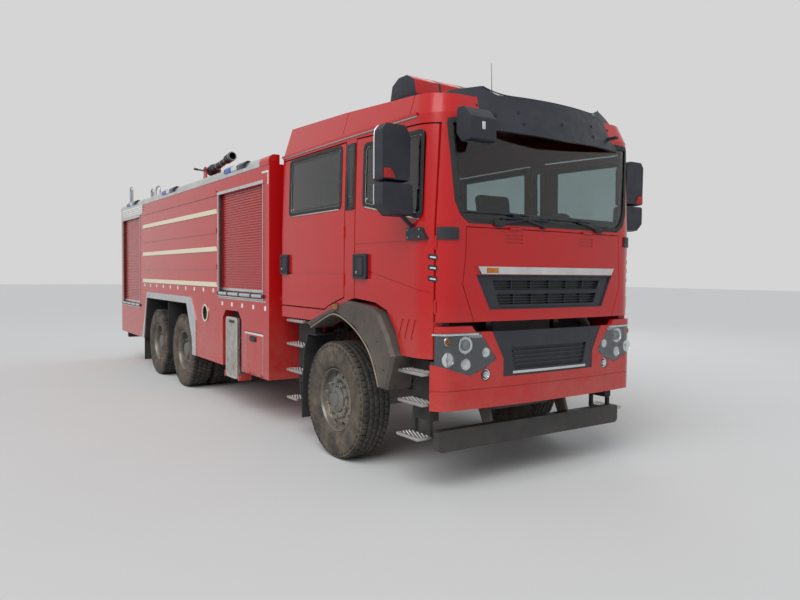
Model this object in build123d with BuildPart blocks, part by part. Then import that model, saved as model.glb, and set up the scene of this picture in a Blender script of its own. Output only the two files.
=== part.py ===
"""Foam fire truck: a three-axle chassis, a four-door cab and a body with a tank.

All sizes are millimetres.  +X is the truck's left, +Y its rear, +Z is up, and
the ground is at zero.  Lengthwise places are given with aft(), the distance
behind the front axle, and most pieces are made once and mirrored.
"""
import os

from build123d import *

os.makedirs("parts", exist_ok=True)

# Overall size and axles
MIRROR_FRONT = -1720           # foremost place, on the front mirror
BODY_REAR = 8560
LADDER_OUT = 70                # ladder rails behind the body
LADDER_R = 19
WHEELBASE = 4600               # front axle to first drive axle
TANDEM = 1400                  # between the two drive axles
AXLE_FRONT = -(MIRROR_FRONT + BODY_REAR + LADDER_OUT + LADDER_R) / 2

# Wheels
TYRE_R = 535
TYRE_W = 310
TYRE_SHOULDER = 45
RIM_R = 292                    # where the tyre meets its rim
HUB_R = 140
FRONT_OUTER = 1205             # outer side of a front tyre from the middle
REAR_OUTER = 1235
TWIN_GAP = 40                  # between the two tyres of a twin wheel
KINGPIN_X = 865                # far enough in that the tie rod clears the wheels
AXLE_Z = TYRE_R

# Frame
RAIL_OUT = 430
RAIL_H = 300
RAIL_FLANGE = 80
RAIL_WALL = 10
RAIL_TOP = 1060
RAIL_FRONT = -1240
RAIL_REAR = 8420
MEMBER_R = 55

# Cab
CAB_HALF = 1175
CAB_FRONT = -1530
CAB_REAR = 1245
CAB_BOW = 55                   # how far the middle of the front stands out
CAB_CORNER = 250
CAB_WALL = 55
CAB_FOOT = 1057
BELT_Z = 2080                  # foot of the windscreen
GUTTER_Z = 2900
GUTTER_FRONT = -1505
ROOF_TOP_FRONT = 3030
ROOF_TOP_REAR = 3215
ROOF_IN = 130                  # how far the roof draws in
CAB_SKIRT_Z = 1235
FLOOR_Z = 1400
FLOOR_T = 40
FLAP_FOOT = 1335
FLOOR_FRONT = -1360
SILL_GAP = 8                   # floor to a closed door
TUNNEL_X = 400                 # half width of the engine tunnel in the cab floor
CAB_TUNNEL_Z = 1700
GAP = 12                       # gap round a door or flap
GLASS_T = 6
GLASS_IN = 6                   # glass lies this far inside the outer skin
SEAL = 4                       # glass to its frame

# Doors: places behind the front axle, and heights
FRONT_HINGE_Y = -1405
FRONT_DOOR_END = -345
REAR_HINGE_Y = -150
REAR_DOOR_END = 1180
DOOR_TOP = 2850

# Body
BODY_HALF = 1250
BODY_FRONT = 1343
BODY_FOOT = 530
BODY_TOP = 2850
RAIL_CAP = 110                 # height of the rounded roof rail
TUNNEL_HALF = 560              # room for the frame under the body
TUNNEL_TOP = 1130
ARCH_TOP = 1243                # over the tandem wheels
TANDEM_MIDDLE = WHEELBASE + TANDEM / 2
SLAT = 55
BAND_OUT = 12


def aft(distance):
    """Place along the truck, from its distance behind the front axle."""
    return AXLE_FRONT + distance


def block(x, y, z, mode=Mode.ADD):
    """A block between pairs of places; y is behind the front axle."""
    middle = ((x[0] + x[1]) / 2, aft((y[0] + y[1]) / 2), (z[0] + z[1]) / 2)
    with Locations(middle):
        Box(abs(x[1] - x[0]), abs(y[1] - y[0]), abs(z[1] - z[0]), mode=mode)


def side_plate(points, x_from, x_to, mode=Mode.ADD, radius=0, grow=0):
    """An outline of (behind axle, height) points, run across the truck."""
    with BuildSketch(Plane.YZ.offset(x_from)) as outline:
        with BuildLine():
            Polyline(*[(aft(y), z) for y, z in points], close=True)
        make_face()
        if grow:
            offset(amount=grow, kind=Kind.INTERSECTION)
        if radius:
            fillet(outline.vertices(), radius)
    extrude(outline.sketch, amount=x_to - x_from, mode=mode)


def front_plate(points, y_from, y_to, mode=Mode.ADD, radius=0, grow=0):
    """An outline of (x, height) points, run along the truck."""
    with BuildSketch(Plane.XZ.offset(-aft(y_to))) as outline:
        with BuildLine():
            Polyline(*points, close=True)
        make_face()
        if grow:
            offset(amount=grow, kind=Kind.INTERSECTION)
        if radius:
            fillet(outline.vertices(), radius)
    extrude(outline.sketch, amount=y_to - y_from, mode=mode)


def rod(start, end, radius, mode=Mode.ADD):
    """A round bar between two points given as (x, behind axle, z)."""
    first = Vector(start[0], aft(start[1]), start[2])
    last = Vector(end[0], aft(end[1]), end[2])
    axis = last - first
    with BuildSketch(Plane(origin=first, z_dir=axis)) as section:
        Circle(radius)
    extrude(section.sketch, amount=axis.length, mode=mode)


def mirrored(points):
    """The same outline on the other side of the middle."""
    return [(-x, z) for x, z in points]


def save(part, name):
    part.label = name
    export_step(part, f"parts/{name}.step")


# Cab form: the same shape is made smaller by the inset for its inner side


def cab_plan(height, inset, front, half):
    """Plan of the cab at one height: a bowed front and rounded corners."""
    shoulder = aft(front + CAB_BOW) + inset
    with BuildSketch(Plane.XY.offset(height)) as plan:
        with BuildLine():
            ThreePointArc((-half + inset, shoulder), (0, aft(front) + inset), (half - inset, shoulder))
            Polyline(
                (half - inset, shoulder),
                (half - inset, aft(CAB_REAR) - inset),
                (-half + inset, aft(CAB_REAR) - inset),
                (-half + inset, shoulder),
            )
        make_face()
        fillet(plan.vertices().group_by(Axis.Y)[0], CAB_CORNER - inset)
        fillet(plan.vertices().group_by(Axis.Y)[-1], 80 - inset)
    return plan.sketch


def cab_form(inset):
    """The closed outer form of the cab, drawn in by the inset."""
    with BuildPart() as form:
        extrude(cab_plan(CAB_FOOT, inset, CAB_FRONT, CAB_HALF), amount=BELT_Z - CAB_FOOT)
        loft([
            cab_plan(BELT_Z, inset, CAB_FRONT, CAB_HALF),
            cab_plan(GUTTER_Z, inset, GUTTER_FRONT, CAB_HALF - 20),
        ], ruled=True)
        loft([
            cab_plan(GUTTER_Z, inset, GUTTER_FRONT, CAB_HALF - 20),
            cab_plan(ROOF_TOP_REAR + 40, inset, GUTTER_FRONT + ROOF_IN, CAB_HALF - ROOF_IN),
        ], ruled=True)
        side_plate(
            [(CAB_FRONT - 200, ROOF_TOP_FRONT - inset), (0, ROOF_TOP_REAR - inset - 60),
             (CAB_REAR + 100, ROOF_TOP_REAR - inset), (CAB_REAR + 100, ROOF_TOP_REAR + 400),
             (CAB_FRONT - 200, ROOF_TOP_REAR + 400)],
            -CAB_HALF - 50, CAB_HALF + 50, mode=Mode.SUBTRACT)
    return form.part


cab_outer = cab_form(0)
cab_skin = cab_outer - cab_form(CAB_WALL)
glass_skin = cab_form(GLASS_IN) - cab_form(GLASS_IN + GLASS_T)

# Side outlines as (behind axle, height)
FRONT_DOOR = [
    (FRONT_HINGE_Y, CAB_FOOT), (-1075, CAB_FOOT), (-990, 1235), (-860, 1400), (-690, 1455),
    (FRONT_DOOR_END, 1482), (FRONT_DOOR_END, DOOR_TOP), (FRONT_HINGE_Y, DOOR_TOP - 40),
]
REAR_DOOR = [
    (REAR_HINGE_Y, 1485), (130, 1400), (220, 1360), (REAR_DOOR_END, 1360),
    (REAR_DOOR_END, DOOR_TOP), (REAR_HINGE_Y, DOOR_TOP),
]
FRONT_WINDOW = [(-1320, 2120), (-470, 2270), (-470, 2790), (-1320, 2770)]
REAR_WINDOW = [(-80, 2280), (1000, 2280), (1000, 2835), (-80, 2835)]
PILLAR_GLASS = [(-315, 2260), (-180, 2260), (-180, 2820), (-315, 2820)]
CAB_UNDER = [
    (-1800, 1000), (-1800, FLAP_FOOT), (-1390, FLAP_FOOT), (-1370, 1475), (-300, 1475),
    (500, CAB_SKIRT_Z), (1400, CAB_SKIRT_Z), (1400, 1000),
]
# Front outlines as (x, height)
FLAP = [(-880, 2050), (880, 2050), (885, 1830), (910, 1620), (800, FLAP_FOOT), (-800, FLAP_FOOT),
        (-910, 1620), (-885, 1830)]
SCREEN = [(-860, 2095), (860, 2095), (930, 2150), (975, 2250), (1025, 2850), (-1025, 2850), (-975, 2250),
          (-930, 2150)]
BACK_WINDOW = [(-700, 2300), (700, 2300), (700, 2700), (-700, 2700)]
GRILLE = [(-790, 1695), (790, 1695), (655, 1425), (-655, 1425)]


WALL_X = (CAB_HALF - 300, CAB_HALF + 30)   # reaches through a side wall
FRONT_Y = (CAB_FRONT - 100, CAB_FRONT + 260)   # reaches through the front wall

# Lines and dents pressed into the cab's skin, as outlines of the side and the front
PRESS_DEEP = 6
CREASES = (
    [(-1300, 1944), (-360, 1944), (-360, 1951), (-1300, 1951)],
    [(-1390, 1553), (-560, 1712), (-560, 1720), (-1390, 1561)],
    [(-140, 1689), (1170, 1689), (1170, 1696), (-140, 1696)],
    [(-66, GUTTER_Z + 25), (-58, GUTTER_Z + 25), (-58, ROOF_TOP_REAR), (-66, ROOF_TOP_REAR)],
    [(-1126, GUTTER_Z + 25), (-1118, GUTTER_Z + 25), (-1118, ROOF_TOP_REAR), (-1126, ROOF_TOP_REAR)],
)
DOOR_DENTS = (-1080, -1165, -1250)   # top rear corners
FLAP_DENTS = (2008, 1980, 1952)
CORNER_DENTS = (2877, 2758, 2631, 2505, 2383)


def pressed_lines():
    """The thin shapes to take off the skin for creases, dents and louvres."""
    with BuildPart() as marks:
        for side in (-1, 1):
            for outline in CREASES:
                side_plate(outline, 0, side * (CAB_HALF + 10))
            for y in DOOR_DENTS:
                side_plate([(y, 1345), (y - 42, 1345), (y + 12, 1190), (y + 54, 1190)],
                           *[side * x for x in WALL_X])
            for z in FLAP_DENTS:
                front_plate([(side * 330, z), (side * 520, z), (side * 500, z - 12), (side * 330, z - 12)],
                            *FRONT_Y)
            for z in CORNER_DENTS:
                block((side * (CAB_HALF - 26), side * (CAB_HALF + 10)), (1199, CAB_REAR), (z - 30, z + 24))
    with BuildPart() as lines:
        add(cab_outer - cab_form(PRESS_DEEP))
        add(marks.part, mode=Mode.INTERSECT)
    return lines.part


# Hinges, all of one size
PIN_R = 5
SLEEVE_R = 11
SLEEVE_L = 80
LUG_L = 14
RUN = 0.3                      # running clearance on a pin
HINGE_ROOM = 3                 # cut back round a sleeve or a lug


def hinge(centre, axis, part):
    """One hinge on a line along x, y or z.

    The door has the sleeve and the room for the lugs; what carries it has the
    room for the sleeve, and the two lugs with their pin.
    """
    def along(start, end, radius, mode=Mode.ADD):
        places = [
            tuple(value + (distance if letter == axis else 0) for value, letter in zip(centre, "xyz"))
            for distance in (start, end)
        ]
        rod(*places, radius, mode)

    half = SLEEVE_L / 2
    if part == "sleeve":
        for end in (-1, 1):
            along(end * half, end * (half + LUG_L + HINGE_ROOM), SLEEVE_R + HINGE_ROOM, Mode.SUBTRACT)
        along(RUN - half, half - RUN, SLEEVE_R)
        along(-half - 1, half + 1, PIN_R + RUN, Mode.SUBTRACT)
    if part == "lugs":
        along(-half - 2, half + 2, SLEEVE_R + HINGE_ROOM, Mode.SUBTRACT)
        for end in (-1, 1):
            along(end * half, end * (half + LUG_L), SLEEVE_R)
        along(-half - 1, half + 1, PIN_R)


# Door hinges: how far from the middle, behind the axle, and the two heights
HINGES = (
    (1106, FRONT_HINGE_Y - GAP / 2, (1450, 1930)),
    (CAB_HALF + 1, REAR_HINGE_Y - GAP / 2, (1640, 2060)),
)
FLAP_HINGES = [(x, CAB_FRONT - 1, 2056) for x in (-420, 420)]
PRESSED = pressed_lines()

# Cab shell: skin with its openings, floor, engine tunnel and front bulkhead
with BuildPart() as cab_shell:
    add(cab_skin)
    add(PRESSED, mode=Mode.SUBTRACT)
    for side in (-1, 1):
        block((side * (CAB_HALF - 40), side * (CAB_HALF - 1)), (-1240, CAB_REAR - 60),
              (GUTTER_Z - 8, GUTTER_Z + 12))
    side_plate(CAB_UNDER, -CAB_HALF - 50, CAB_HALF + 50, mode=Mode.SUBTRACT)
    for side in (-1, 1):
        for outline in (FRONT_DOOR, REAR_DOOR):
            side_plate(outline, side * WALL_X[0], side * WALL_X[1], mode=Mode.SUBTRACT, grow=GAP)
        side_plate(PILLAR_GLASS, side * WALL_X[0], side * WALL_X[1], mode=Mode.SUBTRACT, grow=SEAL)
    front_plate(FLAP, CAB_FRONT - 100, CAB_FRONT + 220, mode=Mode.SUBTRACT, grow=GAP / 2)
    front_plate(SCREEN, CAB_FRONT - 100, CAB_FRONT + 260, mode=Mode.SUBTRACT, grow=SEAL)
    front_plate(BACK_WINDOW, CAB_REAR - 150, CAB_REAR + 50, mode=Mode.SUBTRACT, grow=SEAL)
    extrude(cab_plan(FLOOR_Z, CAB_WALL + SILL_GAP, FLOOR_FRONT - CAB_WALL - SILL_GAP, CAB_HALF),
            amount=FLOOR_T)
    for side in (-1, 1):
        for start, end in ((FRONT_DOOR_END + GAP + 4, REAR_HINGE_Y - GAP - 4),
                           (REAR_DOOR_END + GAP + 4, CAB_REAR - 20)):
            block((side * (CAB_HALF - 120), side * (CAB_HALF - 5)), (start, end),
                  (FLOOR_Z, FLOOR_Z + FLOOR_T))
    block((-CAB_HALF + 90, CAB_HALF - 90), (REAR_DOOR_END + 1, CAB_REAR - 20), (FLOOR_Z, FLOOR_Z + FLOOR_T))
    block((-TUNNEL_X, TUNNEL_X), (-1100, 350), (FLOOR_Z, CAB_TUNNEL_Z))
    block((-TUNNEL_X + FLOOR_T, TUNNEL_X - FLOOR_T), (-1120, 350 - FLOOR_T),
          (FLOOR_Z - 50, CAB_TUNNEL_Z - FLOOR_T), mode=Mode.SUBTRACT)
    block((-CAB_HALF + 120, CAB_HALF - 120), (-1330, -1290), (FLOOR_Z, BELT_Z))
    for side in (-1, 1):
        for x, y, heights in HINGES:
            for z in heights:
                hinge((side * x, y, z), "z", "lugs")
    for centre in FLAP_HINGES:
        hinge(centre, "x", "lugs")
save(cab_shell.part, "cab_shell")

# Doors: the cut pieces of the skin, with a window frame, sleeves and a handle
DOORS = (
    ("front_door", FRONT_DOOR, FRONT_WINDOW, HINGES[0], (-560, -365, 1660, 1850)),
    ("rear_door", REAR_DOOR, REAR_WINDOW, HINGES[1], (1000, 1150, 1690, 1870)),
)
HANDLE_T = 22


def both_sides(part, name):
    """Save a left-hand piece and its mirror image on the right."""
    save(part, f"{name}_left")
    save(mirror(part, Plane.YZ), f"{name}_right")


for door_name, outline, window, (hinge_x, hinge_y, heights), handle in DOORS:
    with BuildPart() as door:
        add(cab_skin)
        add(PRESSED, mode=Mode.SUBTRACT)
        side_plate(outline, *WALL_X, mode=Mode.INTERSECT)
        side_plate(window, *WALL_X, mode=Mode.SUBTRACT, radius=45, grow=SEAL)
        for z in heights:
            hinge((hinge_x, hinge_y, z), "z", "sleeve")
        block((CAB_HALF - 2, CAB_HALF + HANDLE_T), handle[0:2], handle[2:4])
    both_sides(door.part, door_name)
    with BuildPart() as pane:
        add(glass_skin)
        side_plate(window, *WALL_X, mode=Mode.INTERSECT, radius=45, grow=SEAL)
    both_sides(pane.part, f"{door_name}_glass")

# Windscreen, pillar glass and back window
with BuildPart() as cab_glass:
    add(glass_skin)
    front_plate(SCREEN, CAB_FRONT - 100, CAB_FRONT + 260, mode=Mode.INTERSECT, grow=SEAL)
    for side in (-1, 1):
        x_out = side * (CAB_HALF - GLASS_IN)
        side_plate(PILLAR_GLASS, x_out - side * 3 * GLASS_T, x_out, grow=SEAL)
    front_plate(BACK_WINDOW, CAB_REAR - GLASS_IN - GLASS_T, CAB_REAR - GLASS_IN, grow=SEAL)
save(cab_glass.part, "cab_glass")

# Service flap under the windscreen, with a recess for the grille
with BuildPart() as service_flap:
    add(cab_skin)
    add(PRESSED, mode=Mode.SUBTRACT)
    front_plate(FLAP, *FRONT_Y, mode=Mode.INTERSECT)
    front_plate(GRILLE, *FRONT_Y, mode=Mode.SUBTRACT)
    for centre in FLAP_HINGES:
        hinge(centre, "x", "sleeve")
save(service_flap.part, "service_flap")

# Grille: a bowed surround with two slots, each crossed by thin slats
SLOTS = ((1652, 1578, 625), (1545, 1462, 585))   # top, foot and half width
SLAT_STEP = 22
with BuildPart() as slat_bars:
    for top, foot, half in SLOTS:
        for number in range(1, int((top - foot) / SLAT_STEP) + 1):
            z = top - number * SLAT_STEP
            block((-half, half), FRONT_Y, (z - 3, z + 3))
        for x in (-half * 2 / 3, -half / 3, 0, half / 3, half * 2 / 3):
            block((x - 4, x + 4), FRONT_Y, (foot - 2, top + 2))
with BuildPart() as slat_set:
    add(cab_form(24) - cab_form(42))
    add(slat_bars.part, mode=Mode.INTERSECT)
with BuildPart() as grille:
    add(cab_form(10) - cab_form(45))
    front_plate(GRILLE, *FRONT_Y, mode=Mode.INTERSECT)
    for top, foot, half in SLOTS:
        front_plate([(-half, top), (half, top), (half - 30, foot), (30 - half, foot)], *FRONT_Y,
                    mode=Mode.SUBTRACT)
    add(slat_set.part)
save(grille.part, "grille")
with BuildPart() as grille_bar:
    add(cab_form(-25) - cab_form(0))
    front_plate([(-790, 1757), (790, 1757), (755, 1700), (-755, 1700)], *FRONT_Y, mode=Mode.INTERSECT)
save(grille_bar.part, "grille_bar")

# Wheels


def tyre_profile(outer):
    """Half section of one tyre, its outer side at the given place across the truck."""
    inner = outer - TYRE_W
    with BuildSketch(Plane.XZ) as section:
        with BuildLine():
            Polyline(
                (inner + 40, RIM_R), (inner, RIM_R + 90), (inner + 12, TYRE_R - TYRE_SHOULDER),
                (inner + 30, TYRE_R), (outer - 30, TYRE_R), (outer - 12, TYRE_R - TYRE_SHOULDER),
                (outer, RIM_R + 90), (outer - 40, RIM_R), close=True)
        make_face()
    return section.sketch


def rim_profile(outer, dish):
    """Half section of one rim; the dish says how far the disc lies inside."""
    face = outer - 40
    back = outer - TYRE_W + 40
    disc = outer - dish
    with BuildSketch(Plane.XZ) as section:
        with BuildLine():
            Polyline(
                (face, RIM_R), (face, RIM_R - 20), (face - 30, RIM_R - 30), (disc + 8, RIM_R - 40),
                (disc + 8, 0), (disc - 8, 0), (disc - 8, RIM_R - 40), (back, RIM_R - 30), (back, RIM_R),
                close=True)
        make_face()
    return section.sketch


HUB_BORE = 60
SPINDLE_ROOM = 1065            # how far out the bore of a front hub goes
FRONT_HUB_IN = 1015
REAR_HUB_IN = 815
AXLES = (("front", 0), ("middle", WHEELBASE), ("rear", WHEELBASE + TANDEM))
for axle_name, place in AXLES:
    steered = axle_name == "front"
    if steered:
        rings = ((FRONT_OUTER, 90),)
        hub_span = (FRONT_HUB_IN, FRONT_OUTER - 20)
    else:
        rings = ((REAR_OUTER, 150), (REAR_OUTER - TYRE_W - TWIN_GAP, 60))
        hub_span = (REAR_HUB_IN, REAR_OUTER - 60)
    centre = Location((0, aft(place), AXLE_Z))
    with BuildPart() as tyre:
        for outer, dish in rings:
            revolve(tyre_profile(outer), axis=Axis.X)
    both_sides(centre * tyre.part, f"tyre_{axle_name}")
    with BuildPart() as rim:
        for outer, dish in rings:
            revolve(rim_profile(outer, dish), axis=Axis.X)
        with BuildSketch(Plane.YZ.offset(hub_span[0])) as hub:
            Circle(HUB_R)
        extrude(hub.sketch, amount=hub_span[1] - hub_span[0])
        if steered:
            with BuildSketch(Plane.YZ.offset(FRONT_HUB_IN - 1)) as bore:
                Circle(HUB_BORE + RUN)
            extrude(bore.sketch, amount=SPINDLE_ROOM - FRONT_HUB_IN + 1, mode=Mode.SUBTRACT)
    both_sides(centre * rim.part, f"rim_{axle_name}")

# Knuckles: a fork over the axle end, its kingpin and the wheel spindle
KINGPIN_R = 20
BOSS_R = 45
BOSS_HALF = 45                 # half height of the axle end
FORK_T = 40
BALL = (KINGPIN_X, 190)        # ball pin of a steering arm: from the middle, behind the axle
BALL_R = 12
ARM_T = 30
EYE_H = 36
EYE_WALL = 12
EYE_ROOM = 2                   # play of the tie rod's loose end
TIE_R = 16
with BuildPart() as knuckle:
    low = AXLE_Z - BOSS_HALF - RUN - FORK_T
    high = AXLE_Z + BOSS_HALF + RUN
    rod((KINGPIN_X, 0, low), (KINGPIN_X, 0, low + FORK_T), BOSS_R)
    rod((KINGPIN_X, 0, high), (KINGPIN_X, 0, high + FORK_T), BOSS_R)
    rod((KINGPIN_X, 0, low), (KINGPIN_X, 0, high), KINGPIN_R)
    block((KINGPIN_X + BOSS_R + 8, FRONT_HUB_IN - 6), (-BOSS_R, BOSS_R), (low, high + FORK_T))
    block((KINGPIN_X, KINGPIN_X + BOSS_R + 10), (-BOSS_R, BOSS_R), (low, low + FORK_T))
    block((KINGPIN_X, KINGPIN_X + BOSS_R + 10), (-BOSS_R, BOSS_R), (high, high + FORK_T))
    rod((FRONT_HUB_IN - 10, 0, AXLE_Z), (SPINDLE_ROOM - RUN, 0, AXLE_Z), HUB_BORE)
    with BuildSketch(Plane.XY.offset(low)) as arm:
        with BuildLine():
            Polyline((BALL[0] - 26, AXLE_FRONT + 20), (BALL[0] + 26, AXLE_FRONT + 20),
                     (BALL[0] + 22, aft(BALL[1])), (BALL[0] - 22, aft(BALL[1])), close=True)
        make_face()
        with Locations((BALL[0], aft(BALL[1]))):
            Circle(BALL_R + EYE_WALL)
    extrude(arm.sketch, amount=ARM_T)
    rod((*BALL, low - EYE_H - 2), (*BALL, low + 1), BALL_R)
both_sides(knuckle.part, "knuckle")

# Tie rod under the steering arms: an eye at each end round an arm's ball pin
with BuildPart() as tie_rod:
    eye_top = AXLE_Z - BOSS_HALF - RUN - FORK_T - RUN
    for side in (-1, 1):
        rod((side * BALL[0], BALL[1], eye_top - EYE_H), (side * BALL[0], BALL[1], eye_top),
            BALL_R + EYE_WALL)
    rod((-BALL[0], BALL[1], eye_top - EYE_H / 2), (BALL[0], BALL[1], eye_top - EYE_H / 2), TIE_R)
    for side, room in ((1, RUN), (-1, EYE_ROOM)):
        rod((side * BALL[0], BALL[1], eye_top - EYE_H - 1), (side * BALL[0], BALL[1], eye_top + 1),
            BALL_R + room,
            mode=Mode.SUBTRACT)
save(tie_rod.part, "tie_rod")

# Front axle: a dropped beam with its two springs of stacked leaves
SPRING_X = (355, 425)
LEAVES = (800, 640, 480, 320)  # half length of each leaf, from the top
LEAF_T = 16
LEAF_RISE = 110                # a leaf's end above its middle, for the longest
LEAF_Z = 644                   # top of the longest leaf at its middle
with BuildPart() as front_axle:
    front_plate([(-KINGPIN_X, 510), (70 - KINGPIN_X, 510), (230 - KINGPIN_X, 440), (KINGPIN_X - 230, 440),
                 (KINGPIN_X - 70, 510), (KINGPIN_X, 510), (KINGPIN_X, 570), (KINGPIN_X - 230, 580),
                 (230 - KINGPIN_X, 580), (-KINGPIN_X, 570)], -45, 45)
    for side in (-1, 1):
        rod((side * KINGPIN_X, 0, AXLE_Z - BOSS_HALF), (side * KINGPIN_X, 0, AXLE_Z + BOSS_HALF), BOSS_R)
        rod((side * KINGPIN_X, 0, AXLE_Z - BOSS_HALF - 1), (side * KINGPIN_X, 0, AXLE_Z + BOSS_HALF + 1),
            KINGPIN_R + RUN, mode=Mode.SUBTRACT)
        for number, reach in enumerate(LEAVES):
            top = LEAF_Z - number * LEAF_T
            rise = LEAF_RISE * (reach / LEAVES[0]) ** 2
            with BuildSketch(Plane.YZ.offset(side * SPRING_X[0])) as leaf:
                with BuildLine():
                    ThreePointArc((aft(-reach), top + rise), (aft(0), top), (aft(reach), top + rise))
                    Line((aft(reach), top + rise), (aft(reach), top + rise - LEAF_T))
                    ThreePointArc((aft(reach), top + rise - LEAF_T), (aft(0), top - LEAF_T),
                                  (aft(-reach), top + rise - LEAF_T))
                    Line((aft(-reach), top + rise - LEAF_T), (aft(-reach), top + rise))
                make_face()
            extrude(leaf.sketch, amount=side * (SPRING_X[1] - SPRING_X[0]))
        for y in (-LEAVES[0] + 20, LEAVES[0] - 20):
            block((side * SPRING_X[0], side * SPRING_X[1]), (y - 25, y + 25),
                  (LEAF_Z + LEAF_RISE - 14, RAIL_TOP - RAIL_H))
        block((side * (SPRING_X[0] - 15), side * (SPRING_X[1] + 15)), (-70, 70), (579, LEAF_Z + 20))
save(front_axle.part, "front_axle")

# Drive axles: tubes, final drives, drums and the bogie springs
BOGIE_X = (440, 520)
NOSE = 275                     # from an axle to the flange of its drive
SHAFT_Z = 560
with BuildPart() as drive_axles:
    for place in (WHEELBASE, WHEELBASE + TANDEM):
        rod((-REAR_HUB_IN + RUN, place, AXLE_Z), (REAR_HUB_IN - RUN, place, AXLE_Z), 75)
        rod((-160, place, AXLE_Z), (160, place, AXLE_Z), 215)
        rod((0, place - NOSE, SHAFT_Z), (0, place, SHAFT_Z), 70)
        for side in (-1, 1):
            rod((side * 650, place, AXLE_Z), (side * 800, place, AXLE_Z), 205)
    rod((0, WHEELBASE, SHAFT_Z), (0, WHEELBASE + NOSE, SHAFT_Z), 60)
    middle = WHEELBASE + TANDEM / 2
    for side in (-1, 1):
        side_plate([(WHEELBASE - 80, 640), (middle, 780), (middle + TANDEM / 2 + 80, 640),
                    (middle + TANDEM / 2 + 80, 600), (middle, 660), (WHEELBASE - 80, 600)],
                   side * BOGIE_X[0], side * BOGIE_X[1])
        side_plate([(middle - 160, 1000), (middle + 160, 1000), (middle + 90, 640), (middle - 90, 640)],
                   side * RAIL_OUT, side * (BOGIE_X[0] + 1))
save(drive_axles.part, "drive_axles")

# Frame: two channel rails, tube members, bumper arms and tank brackets
MEMBERS = (1400, 2600, 3600, 5300, 7000, 8300)
BRACKET_T = 30
TOW_EYES = ((-1215, 640, 25), (8383, 800, 20))   # behind the axle, height, radius
with BuildPart() as frame:
    for side in (-1, 1):
        inner = RAIL_OUT - RAIL_FLANGE
        with BuildSketch(Plane.XZ.offset(-aft(RAIL_REAR))) as channel:
            with BuildLine():
                Polyline(*[(side * x, z) for x, z in (
                    (RAIL_OUT, RAIL_TOP), (inner, RAIL_TOP), (inner, RAIL_TOP - RAIL_WALL),
                    (RAIL_OUT - RAIL_WALL, RAIL_TOP - RAIL_WALL),
                    (RAIL_OUT - RAIL_WALL, RAIL_TOP - RAIL_H + RAIL_WALL),
                    (inner, RAIL_TOP - RAIL_H + RAIL_WALL),
                    (inner, RAIL_TOP - RAIL_H), (RAIL_OUT, RAIL_TOP - RAIL_H))], close=True)
            make_face()
        extrude(channel.sketch, amount=RAIL_REAR - RAIL_FRONT)
    for place in MEMBERS:
        rod((-RAIL_OUT + 5, place, 985), (RAIL_OUT - 5, place, 985), MEMBER_R)
    for side in (-1, 1):
        plate_x = (side * RAIL_OUT, side * (RAIL_OUT + BRACKET_T))
        side_plate([(-1330, 345), (-1330, 490), (-1262, 700), (-1240, 1050), (-1080, 1050), (-1080, 770),
                    (-1290, 345)], *plate_x)
        block((side * 370, plate_x[1]), (-1460, -1235), (800, 890))
        side_plate([(8300, 1050), (8400, 1050), (8460, 500), (8460, 410), (8400, 410)], *plate_x)
        for y, z, radius in TOW_EYES:
            rod((plate_x[0] - side, y, z), (plate_x[1] + side, y, z), radius, mode=Mode.SUBTRACT)
        for y in (-1180, 1120):
            block((side * 370, side * RAIL_OUT), (y - 40, y + 40), (RAIL_TOP - 1, FLOOR_Z - RUN))
save(frame.part, "frame")
BAR_HALF = 1050
REAR_BAR_HALF = 1150
with BuildPart() as underrun_bars:
    front_plate([(-BAR_HALF, 335), (BAR_HALF, 335), (BAR_HALF, 500), (-BAR_HALF, 500)], -1400, -1330,
                radius=40)
    front_plate([(-REAR_BAR_HALF, 400), (REAR_BAR_HALF, 400), (REAR_BAR_HALF, 520), (-REAR_BAR_HALF, 520)],
                8460, 8540, radius=15)
save(underrun_bars.part, "underrun_bars")

# Engine, gearbox, radiator and shafts
with BuildPart() as powertrain:
    block((-330, 330), (-1000, 290), (640, 1540))
    block((-330, 330), (289, 500), (700, 1300))
    block((-180, 180), (499, 1250), (700, 930))
    block((-340, 340), (-1200, -1090), (560, 1330))
    block((-250, 250), (-1091, -999), (700, 1250))
    rod((0, 1249, 810), (0, WHEELBASE - NOSE - 60, SHAFT_Z), 50)
    rod((0, WHEELBASE - NOSE - 70, SHAFT_Z), (0, WHEELBASE - NOSE - RUN, SHAFT_Z), 60)
    rod((0, WHEELBASE + NOSE + RUN, SHAFT_Z), (0, WHEELBASE + TANDEM - NOSE - RUN, SHAFT_Z), 45)
    for side in (-1, 1):
        block((side * 320, side * (RAIL_OUT - RAIL_FLANGE - RUN)), (-700, -600), (1020, RAIL_TOP))
save(powertrain.part, "powertrain")


# Bumper: a curved shell with lamps and a dark middle let into it
BUMPER_HALF = 1145
BUMPER_FRONT = -1545
BUMPER_BACK = -1395
BUMPER_UPPER_BACK = -1425
BUMPER_FOOT = 670
BUMPER_TOP = 1305
BUMPER_WALL = 45
LAMP = [(-1140, 1256), (-750, 1256), (-590, 1043), (-680, 985), (-837, 925), (-1140, 1020)]
MIDDLE = [(-635, 1256), (635, 1256), (520, 1043), (520, 900), (-520, 900), (-520, 1043)]


def bumper_form(inset, foot, top):
    shoulder = aft(BUMPER_FRONT + 60) + inset
    half = BUMPER_HALF - inset
    with BuildSketch(Plane.XY.offset(foot)) as plan:
        with BuildLine():
            ThreePointArc((-half, shoulder), (0, aft(BUMPER_FRONT) + inset), (half, shoulder))
            Polyline((half, shoulder), (half, aft(-1250)), (-half, aft(-1250)), (-half, shoulder))
        make_face()
        fillet(plan.vertices().group_by(Axis.Y)[0], 150 - inset)
    with BuildPart() as form:
        extrude(plan.sketch, amount=top - foot)
    return form.part


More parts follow.
